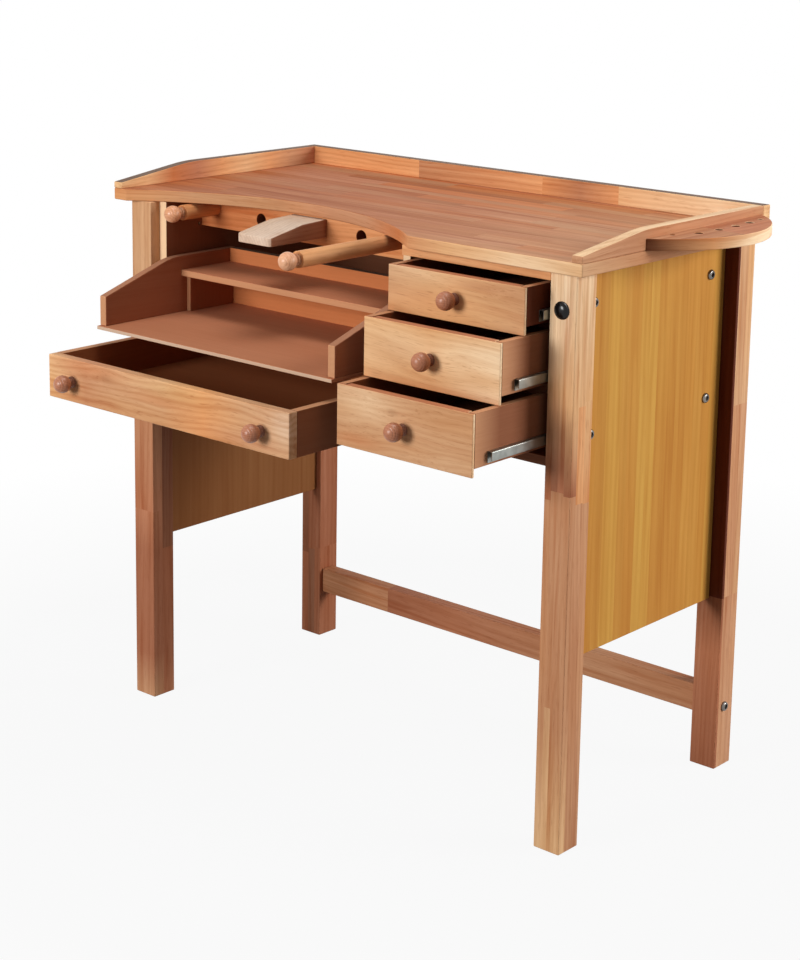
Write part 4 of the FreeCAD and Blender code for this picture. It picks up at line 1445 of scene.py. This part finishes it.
@dataclass
class Knob:
    """A turned wooden knob: foot, neck with a bead, and ball, modelled once and copied.

    Attributes:
        neck: height above the face and radius, from the foot to the ball.
        centre: height of the ball's middle.
        radius: radius of the ball.
        grooves: heights of the grooves turned into the ball.
        groove_depth: depth of those grooves.
        groove_half: half of their width.
        points: number of points along the ball.
    """

    neck: Tuple[Pair, ...] = (
        (0.0, 0.0), (0.0, 0.0092), (0.0003, 0.0095), (0.0011, 0.0095), (0.0015, 0.0091), (0.0018, 0.0083),
        (0.0022, 0.0085), (0.0028, 0.0091), (0.0036, 0.0094), (0.0044, 0.0092), (0.0050, 0.0085),
        (0.0055, 0.0074), (0.0062, 0.0069), (0.0074, 0.0069), (0.0080, 0.0071),
    )
    centre: float = 0.0210
    radius: float = 0.0146
    grooves: Tuple[float, ...] = (0.0103, 0.0134, 0.0290, 0.0322)
    groove_depth: float = 0.0009
    groove_half: float = 0.0005
    points: int = 30

    def __post_init__(self) -> None:
        """Turn the model, its foot at the origin."""
        self.model = turned("knob_model", self.profile(), Vector(), Vector((0.0, -1.0, 0.0)), steps=56)

    def profile(self) -> List[Pair]:
        """The whole half profile, with the ball and its grooves."""
        start = math.acos((self.centre - self.neck[-1][0] - 0.3 * MM) / self.radius)
        heights = [self.centre - self.radius * math.cos(start + (math.pi - start) * step / self.points)
                   for step in range(self.points + 1)]
        clear = [height for height in heights
                 if all(abs(height - groove) > self.groove_half * 1.4 for groove in self.grooves)]
        for groove in self.grooves:
            clear += [groove - self.groove_half, groove, groove + self.groove_half]
        found = list(self.neck)
        for height in sorted(clear):
            radius = math.sqrt(max(self.radius ** 2 - (height - self.centre) ** 2, 0.0))
            found.append((height, radius - self.groove_depth if height in self.grooves else radius))
        return found

    def place(self, name: str, foot: Vector, body: str, *nodes: str, seed: int, tone: Tone = Tone.WALNUT,
              shade: Tone = Tone.UMBER) -> None:
        """Put a copy of the knob on the front of a board.

        Args:
            name: the piece's name.
            foot: the middle of its foot.
            body: the body that it rides on.
            nodes: the nodes that it stands for.
            seed: seed of its grain.
            tone: its tone.
            shade: the tone of its neck, painted shade behind the ball.
        """
        piece = copied(self.model, name, foot)
        reach = Vector((self.radius,) * 3) * 4
        layup = Layup(foot - reach, foot + reach, Axis.X, seed).whole(tone)
        # The neck's darker tone is painted shade behind the ball.
        layup.facing(lambda normal, middle: foot.y - middle.y < self.neck[-1][0], shade)
        glue_up(piece, layup, TURNED_WOOD)
        place_on(piece, body, TURNED_WOOD, *nodes)

    def put_away(self) -> None:
        """Take the model off the bench once every copy is made."""
        bpy.data.objects.remove(self.model)


@dataclass
class PinStation:
    """The apron behind the scallop, its bench pin, and the pull-out armrests.

    Attributes:
        knob: the knob on each armrest.
        pin_x: middle of the pin, in x.
        peg_offset: distance of each peg hole from the pin's middle.
        peg_radius: radius of the peg holes.
        peg_z: height of the peg holes.
        tenon: half width, low and high of the pin's tenon.
        rests_x: place of each armrest, in x.
        rest_z: height of the armrests' middle.
        rest_radius: radius of an armrest.
        rest_length: length of an armrest without its knob.
        rest_play: play of an armrest in its notch.
        knee: where the pin's top starts to slope, y and z.
        nose: top of the pin's front end, in z.
        nose_round: radius of the pin's front corners.
    """

    knob: Knob
    pin_x: float = -0.151
    peg_offset: float = 0.115
    peg_radius: float = 0.011
    peg_z: float = 0.877
    tenon: Triple = (0.034, 0.869, 0.891)
    rests_x: Pair = (-0.378, 0.064)
    rest_z: float = 0.8851
    rest_radius: float = 0.0132
    rest_length: float = 0.315
    rest_play: float = 0.0006
    knee: Pair = (-0.193, 0.8945)
    nose: float = 0.880
    nose_round: float = 7.0 * MM

    def build(self) -> None:
        """Build the apron, the guides, the pin and both armrests."""
        self.apron()
        self.guides()
        self.pin()
        for seed, (node, x) in enumerate(zip(("armrest_left", "armrest_right"), self.rests_x), start=64):
            self.armrest(node, x, seed)

    def notch(self, x: float, low: Vector, high: Vector) -> List[Piece]:
        """The waste of an armrest's notch: a round bed with an open mouth above it."""
        half = self.rest_radius + self.rest_play
        before, behind = low.y - CLEAR, high.y + CLEAR
        bed = rod("bed_waste", (x, before, self.rest_z), Axis.Y, half, behind - before, sides=48)
        mouth = block("mouth_waste", (x - half, before, self.rest_z), (x + half, behind, high.z + CLEAR))
        return [bed, mouth]

    def apron(self) -> None:
        """The apron, pierced for the pin and the pegs and notched for the armrests."""
        low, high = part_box("pin_apron")
        piece = block("apron_board", low, high)
        before, behind = low.y - CLEAR, high.y + CLEAR
        half, under, over = self.tenon
        wastes = [block("mortise_waste", (self.pin_x - half, before, under),
                        (self.pin_x + half, behind, over))]
        layup = Layup(low, high, Axis.X, seed=61).whole(Tone.CORAL, Tone.PEACH)
        for x in (self.pin_x - self.peg_offset, self.pin_x + self.peg_offset):
            wastes.append(rod("peg_waste", (x, before, self.peg_z), Axis.Y, self.peg_radius,
                              behind - before, sides=40))
            # The cocoa walls of the peg holes are painted shade.
            layup.facing(in_hole(Axis.Y, (x, self.peg_z), self.peg_radius), Tone.COCOA)
        for x in self.rests_x:
            wastes += self.notch(x, low, high)
        carve(piece, *wastes)
        dress(piece, layup, RUBBERWOOD, "bench", "pin_apron")

    def guides(self) -> None:
        """The notched guides that carry the armrests behind the apron."""
        for index, (low, high) in enumerate(solids("armrest_guides")):
            piece = block(f"armrest_guide_{index + 1}", low, high)
            carve(piece, *self.notch(self.rests_x[index], low, high))
            layup = Layup(low, high, Axis.Y, seed=62 + index).whole(Tone.ROSE)
            dress(piece, layup, RUBBERWOOD, "bench", "armrest_guides", eased=0.6 * MM)

    def pin(self) -> None:
        """The bench pin: a sloped wedge with a tenon through the apron."""
        low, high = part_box("bench_pin")
        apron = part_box("pin_apron")[0].y
        piece = block("bench_pin_wedge", low, Vector((high.x, apron, high.z)))
        half, under, over = self.tenon
        with Shaper(piece) as shaper:
            shaper.slice(Axis.Y, self.knee[0])
            for y, z in (self.knee, (low.y, self.nose)):
                shaper.pick(Part.VERT, lambda spot: abs(spot.y - y) < TINY and spot.z > high.z - TINY)
                shaper.lift(z - high.z)
            shaper.pick(Part.EDGE, lambda spot: spot.y < low.y + TINY
                        and low.z + TINY < spot.z < self.nose - TINY)
            shaper.round(self.nose_round, 6)
            for axis, place in ((Axis.X, self.pin_x - half), (Axis.X, self.pin_x + half),
                                (Axis.Z, under), (Axis.Z, over)):
                shaper.pick(Part.FACE, lambda spot: spot.y > apron - TINY)
                shaper.slice(axis, place)
            shaper.pick(Part.FACE, lambda spot: spot.y > apron - TINY and abs(spot.x - self.pin_x) < half
                        and under < spot.z < over)
            shaper.draw_back(high.y - apron)
        layup = Layup(low, high, Axis.Y, seed=63).whole(Tone.ASH, Tone.LINEN)
        # The darker mocha sides are painted shade under the top.
        layup.facing(lambda normal, middle: abs(normal.x) > FACING, Tone.MOCHA)
        dress(piece, layup, PIN_WOOD, "bench", "bench_pin", eased=1.4 * MM)

    def armrest(self, node: str, x: float, seed: int) -> None:
        """One armrest: a round rod, and its knob."""
        end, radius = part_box(node)[1].y, self.rest_radius
        foot = Vector((x, end - self.rest_length, self.rest_z))
        piece = rod(f"{node}_rod", foot, Axis.Y, radius, self.rest_length, sides=64)
        low, high = foot - Vector((radius, 0.0, radius)), Vector((x + radius, end, foot.z + radius))
        layup = Layup(low, high, Axis.Y, seed)
        dress(piece, layup.whole(Tone.PEACH), RUBBERWOOD, node, node)
        self.knob.place(f"{node}_knob", foot, node, seed=seed + 100, tone=Tone.BISQUE, shade=Tone.TAN)


@dataclass
class CatchTray:
    """The catch tray with its shelf.

    Attributes:
        nose: top of the sides at their front end, in z.
        knee: where the sides reach their full height, in y, and the radius there.
    """

    nose: float = 0.758
    knee: Pair = (-0.221, 0.120)

    def build(self) -> None:
        """Build every board of the tray."""
        self.sides()
        boards = (
            Boards("tray_bottom", Axis.X, Tone.ROSE, ((faces_front, Tone.LINEN),)),
            # The backboard's slate top edge is painted shade.
            Boards("tray_backboard", Axis.X, Tone.CORAL, ((faces_up, Tone.SLATE),)),
            Boards("tray_shelf", Axis.X, Tone.ROSE, ((faces_front, Tone.TAN),), eased=1.2 * MM),
            Boards("shelf_supports", Axis.Z, Tone.RUSSET, ((faces_front, Tone.TAN),)),
        )
        for seed, board in enumerate(boards, start=71):
            board.build("tray", seed)

    def sides(self) -> None:
        """The two sides, sloped down to the front."""
        for index, (low, high) in enumerate(solids("tray_sides")):
            piece = block(f"tray_side_{index + 1}", low, high)
            slope_front(piece, low, high, self.knee, self.nose)
            layup = Layup(low, high, Axis.Y, seed=75 + index).whole(Tone.RUSSET)
            layup.facing(faces_up, Tone.MOCHA)
            layup.facing(faces_front, Tone.TAN)
            dress(piece, layup, STAINED_BOARD, "tray", "tray_sides", eased=1.4 * MM)


def drawer_boards(body: str, seed: int, outside: Tuple[Tone, ...], inside: Tone) -> None:
    """Make the sides, back and bottom of a drawer.

    Args:
        body: the drawer's body.
        seed: seed of the boards' grain.
        outside: tones of the box's outside, from front to back; a darkening towards the back is painted
            shadow of the leg.
        inside: tone of its inside.
    """
    low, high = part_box(f"{body}_bottom")
    middle_x = (low.x + high.x) / 2

    def faces_inside(normal: Vector, middle: Vector) -> bool:
        """Whether a side's face looks into the drawer."""
        return normal.x * (middle_x - middle.x) > 0.0 and abs(normal.x) > FACING

    boards = (
        Boards(f"{body}_sides", Axis.Y, outside[-1],
               ((faces_up, Tone.TAN), (faces_inside, inside), (faces_right, *outside))),
        Boards(f"{body}_back", Axis.X, inside, ((faces_up, Tone.TAN),)),
        Boards(f"{body}_bottom", Axis.X, inside),
    )
    for place, board in enumerate(boards, start=seed):
        board.build(body, place)


@dataclass
class WideDrawer:
    """The wide drawer under the tray.

    Attributes:
        knob: the knob on its front.
        knob_z: height of its knobs.
        knobs_x: places of its knobs, in x.
    """

    knob: Knob
    knob_z: float = 0.634
    knobs_x: Pair = (-0.36825, 0.06675)

    def build(self) -> None:
        """Build the drawer's box and knobs."""
        low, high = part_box("wide_drawer_front")
        layup = Layup(low, high, Axis.X, seed=81, fine=0.008)
        layup.whole(Tone.HONEY, Tone.TAN, Tone.SAND, Tone.SAND, Tone.PEACH, Tone.SAND, Tone.SAND)
        layup.blush(Tone.ASH, (high.x - 0.01, low.y, 0.650), (0.028, 1.0, 0.03), 0.3)
        layup.knot((-0.285, low.y, 0.655), 0.016, dark=0.15)
        layup.blush(Tone.CORAL, (-0.32, low.y, 0.663), (0.10, 1.0, 0.014), 0.6)
        layup.blush(Tone.CORAL, (-0.16, low.y, 0.640), (0.07, 1.0, 0.007), 0.6)
        layup.blush(Tone.GOLD, (-0.12, low.y, 0.66), (0.09, 1.0, 0.02), 0.3)
        layup.blush(Tone.ROSE, (0.04, low.y, 0.612), (0.08, 1.0, 0.008), 0.5)
        piece = block("wide_front_board", low, high)
        dress(piece, layup, WIDE_FRONT_WOOD, "wide_drawer", "wide_drawer_front", eased=1.6 * MM)
        drawer_boards("wide_drawer", seed=82, outside=(Tone.COCOA,), inside=Tone.SIENNA)
        for index, x in enumerate(self.knobs_x, start=1):
            foot = Vector((x, low.y, self.knob_z))
            self.knob.place(f"wide_knob_{index}", foot, "wide_drawer", "wide_drawer_knobs", seed=84 + index)


@dataclass
class SmallDrawer:
    """One of the three drawers on steel slides.

    Attributes:
        knob: the knob on its front.
        number: its number from the top.
        tones: tones of its front, from left to right.
        blushes: patches on its front: tone, share of the width and height, reach and strength.
        knots: knots in its front: share of the width and height, and reach.
        side: tones of its sides, from front to back; their darkening is painted shadow of the leg and the
            top.
        lip: thickness of the front over the ends of the sides.
        rebate: width of the step behind each end of the front.
    """

    knob: Knob
    number: int
    tones: Tuple[Tone, ...]
    blushes: Tuple[Tuple[Tone, float, float, float, float, float], ...] = ()
    knots: Tuple[Triple, ...] = ()
    # Tan at the front and cocoa behind: painted shadow of the leg on the sides.
    side: Tuple[Tone, ...] = (Tone.TAN, *(Tone.COCOA,) * 7)
    lip: float = 0.005
    rebate: float = 0.015

    def build(self) -> None:
        """Build the drawer's box, knob and slides."""
        body = f"drawer_{self.number}"
        self.front(body, f"{body}_front")
        drawer_boards(body, 90 + self.number * 10, self.side, Tone.COCOA)
        low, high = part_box(f"{body}_front")
        foot = Vector(((low.x + high.x) / 2, low.y, (low.z + high.z) / 2))
        self.knob.place(f"{body}_turned_knob", foot, body, f"{body}_knob", seed=130 + self.number)
        for index, (low, high) in enumerate(solids(f"{body}_slides")):
            piece = self.channel(f"{body}_channel_{index + 1}", low, high, -1 if index == 0 else 1)
            coat(piece, SLIDE_STEEL, body, f"{body}_slides")

    def front(self, body: str, node: str) -> None:
        """The front, stepped behind its ends to lap over the sides."""
        low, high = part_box(node)
        piece = block(f"{node}_board", low, Vector((high.x, low.y + self.lip, high.z)))
        with Shaper(piece) as shaper:
            for place in (low.x + self.rebate, high.x - self.rebate):
                shaper.pick(Part.FACE, lambda spot: spot.y > low.y + self.lip - TINY)
                shaper.slice(Axis.X, place)
            shaper.pick(Part.FACE, lambda spot: spot.y > low.y + self.lip - TINY
                        and low.x + self.rebate < spot.x < high.x - self.rebate)
            shaper.draw_back(high.y - low.y - self.lip)
        layup = Layup(low, high, Axis.X, seed=90 + self.number, fine=0.006).whole(*self.tones)
        size = high - low
        for tone, across, up, wide, tall, strength in self.blushes:
            place = (low.x + size.x * across, low.y, low.z + size.z * up)
            layup.blush(tone, place, (wide, 1.0, tall), strength)
        for across, up, reach in self.knots:
            layup.knot((low.x + size.x * across, low.y, low.z + size.z * up), reach, dark=0.2)
        layup.facing(faces_up, Tone.ROSE)
        layup.facing(faces_right, Tone.CREAM)
        dress(piece, layup, DRAWER_WOOD, body, node, eased=1.4 * MM)

    @staticmethod
    def channel(name: str, low: Vector, high: Vector, side: int) -> Piece:
        """A folded steel channel along one side, open below."""
        sheet, lip, fold = 1.2 * MM, 14.0 * MM, 1.0 * MM
        near, far = (high.x, low.x) if side < 0 else (low.x, high.x)
        inset = sheet / 2
        line = [
            Vector((near + side * inset, low.y, low.z)),
            Vector((near + side * inset, low.y, high.z - inset)),
            Vector((far - side * inset, low.y, high.z - inset)),
            Vector((far - side * inset, low.y, high.z - lip)),
        ]
        piece = drawn_line(name, line)
        with Shaper(piece) as shaper:
            shaper.all_of(Part.EDGE)
            shaper.draw_back(high.y - low.y)
            shaper.pick(Part.EDGE, lambda spot: spot.z > high.z - inset - TINY
                        and abs(spot.y - (low.y + high.y) / 2) < TINY)
            shaper.round(fold, 3)
        modifier = piece.modifiers.new("sheet", "SOLIDIFY")
        modifier.thickness = sheet
        modifier.offset = 0.0
        apply_modifiers(piece)
        with Shaper(piece) as shaper:
            shaper.tidy()
        return piece


# --------------------------------------------------------------------------- studio


@dataclass
class Studio:
    """Floor, lamps, sky and camera.

    Attributes:
        eye: the camera's place.
        yaw: how far it turns to the left from looking along Y, in degrees.
        pitch: how far it looks down, in degrees.
        roll: how far it leans to the left, in degrees.
        lens: focal length, in millimetres.
        sensor: width of the sensor, in millimetres.
        shift: vertical shift of the lens.
        sky: strength of the light from all round.
        lamps: each lamp's name, place, size and power.
        aim: the place that the lamps face.
        greys: the paper's own greys, in display values.
        glow: distances between which the paper turns white, and how white it is at the first.
    """

    eye: Triple = (2.21446, -2.61591, 1.45707)
    yaw: float = 41.10
    pitch: float = 11.74
    roll: float = 0.92
    lens: float = 78.2055
    sensor: float = 36.0
    shift: float = -0.18
    sky: float = 0.15
    lamps: Tuple[Tuple[str, Triple, float, float], ...] = (
        ("front_left_softbox", (-0.8, -4.1, 1.6), 1.4, 132.0),
        ("right_softbox", (3.6, 2.2, 1.7), 1.7, 156.0),
        ("top_softbox", (0.2, -0.2, 3.6), 1.6, 42.0),
    )
    aim: Triple = (0.0, 0.0, 0.55)
    greys: Pair = (0.54, 0.56)
    glow: Triple = (0.9, 1.8, 0.93)

    def build(self) -> None:
        """Build the floor, the lamps, the sky and the camera."""
        scene = bpy.context.scene
        scene.view_settings.view_transform = "Standard"
        self.floor()
        self.world()
        for name, place, size, power in self.lamps:
            self.lamp(name, Vector(place), size, power)
        self.camera()

    def paper(self) -> bpy.types.Material:
        """White paper that shows as the background and keeps soft shadows."""
        graph = Graph(bpy.data.materials.new("studio_paper"))
        seen = graph.seen("Is Camera Ray", "Is Glossy Ray", "Is Transmission Ray")
        place = graph.add("TexCoord").outputs["Object"]
        away = graph.add("VectorMath", {0: place}, operation="LENGTH").outputs["Value"]
        share = graph.math("MULTIPLY", seen, graph.spread(away, *self.glow))
        speckle = graph.noise(place, (30.0, 30.0, 30.0), 2.0, 0.5)
        colour = graph.mix(speckle, *(paint((grey,) * 3) for grey in self.greys))
        paper = graph.add("BsdfDiffuse", {"Color": colour}).outputs[0]
        glow = graph.add("Emission", {"Color": WHITE, "Strength": 1.0}).outputs[0]
        return graph.surface("MixShader", {0: share, 1: paper, 2: glow})

    def floor(self) -> None:
        """A broad sheet of paper under the bench."""
        bpy.ops.object.select_all(action="DESELECT")
        bpy.ops.mesh.primitive_plane_add(size=40.0, location=(0.0, 0.0, -0.2 * MM))
        piece = settle("studio_floor")
        with Shaper(piece):
            bpy.ops.mesh.subdivide(number_cuts=3)
        piece.data.materials.append(self.paper())

    def world(self) -> None:
        """Light from all round, which the camera sees as white."""
        graph = Graph(bpy.data.worlds.new("studio_sky"))
        bpy.context.scene.world = graph.holder
        sky, white = (graph.add("Background", {"Color": WHITE, "Strength": strength}).outputs[0]
                      for strength in (self.sky, 1.0))
        graph.surface("MixShader", {0: graph.seen("Is Camera Ray", "Is Glossy Ray"), 1: sky, 2: white})

    def lamp(self, name: str, place: Vector, size: float, power: float) -> None:
        """A square softbox that faces the bench."""
        data = bpy.data.lights.new(name, "AREA")
        data.shape = "SQUARE"
        data.size = size
        data.energy = power
        lamp = bpy.data.objects.new(name, data)
        bpy.context.scene.collection.objects.link(lamp)
        lamp.location = place
        lamp.rotation_mode = "QUATERNION"
        lamp.rotation_quaternion = (Vector(self.aim) - place).to_track_quat("-Z", "Y")

    def camera(self) -> None:
        """The camera, from the bench's front right and a little above it."""
        yaw, pitch, roll = (math.radians(value) for value in (self.yaw, self.pitch, self.roll))
        level = math.cos(pitch)
        ahead = Vector((-math.sin(yaw) * level, math.cos(yaw) * level, -math.sin(pitch)))
        right = Vector((math.cos(yaw), math.sin(yaw), 0.0))
        up = right.cross(ahead)
        across = right * math.cos(roll) + up * math.sin(roll)
        upright = up * math.cos(roll) - right * math.sin(roll)
        data = bpy.data.cameras.new("studio_camera")
        data.sensor_width = self.sensor
        data.lens = self.lens
        data.shift_y = self.shift
        data.clip_end = 60.0
        camera = bpy.data.objects.new("studio_camera", data)
        bpy.context.scene.collection.objects.link(camera)
        turn = Matrix((across, upright, -ahead)).transposed().to_4x4()
        camera.matrix_world = Matrix.Translation(Vector(self.eye)) @ turn
        bpy.context.scene.camera = camera


def main() -> None:
    """Build the bench piece by piece, then the studio."""
    logging.basicConfig(level=logging.INFO, format="%(message)s")
    knob = Knob()
    assemblies = (
        Worktop(),
        Undercarriage(),
        Cabinet(),
        PinStation(knob),
        CatchTray(),
        WideDrawer(knob),
        SmallDrawer(knob, 1, (Tone.SAND, Tone.HONEY, Tone.SAND),
                    ((Tone.PEACH, 0.2, 0.3, 0.08, 0.02, 0.5), (Tone.ROSE, 0.7, 0.85, 0.07, 0.008, 0.4)),
                    # Drawer 1's bark sides are painted shade beside the leg and under the top.
                    side=(Tone.BARK,)),
        SmallDrawer(knob, 2, (Tone.HONEY, Tone.HONEY, Tone.CREAM),
                    ((Tone.CORAL, 0.5, 0.0, 0.20, 0.012, 0.6), (Tone.SAND, 0.25, 0.5, 0.07, 0.03, 0.5))),
        SmallDrawer(knob, 3, (Tone.SAND, Tone.SAND, Tone.SAND),
                    ((Tone.CREAM, 0.2, 0.8, 0.06, 0.03, 0.5), (Tone.CORAL, 0.15, 0.15, 0.05, 0.010, 0.5)),
                    ((0.42, 0.72, 0.009),)),
        Studio(),
    )
    for assembly in assemblies:
        LOG.info("building the %s", type(assembly).__name__)
        assembly.build()
    knob.put_away()


if __name__ == "__main__":
    main()
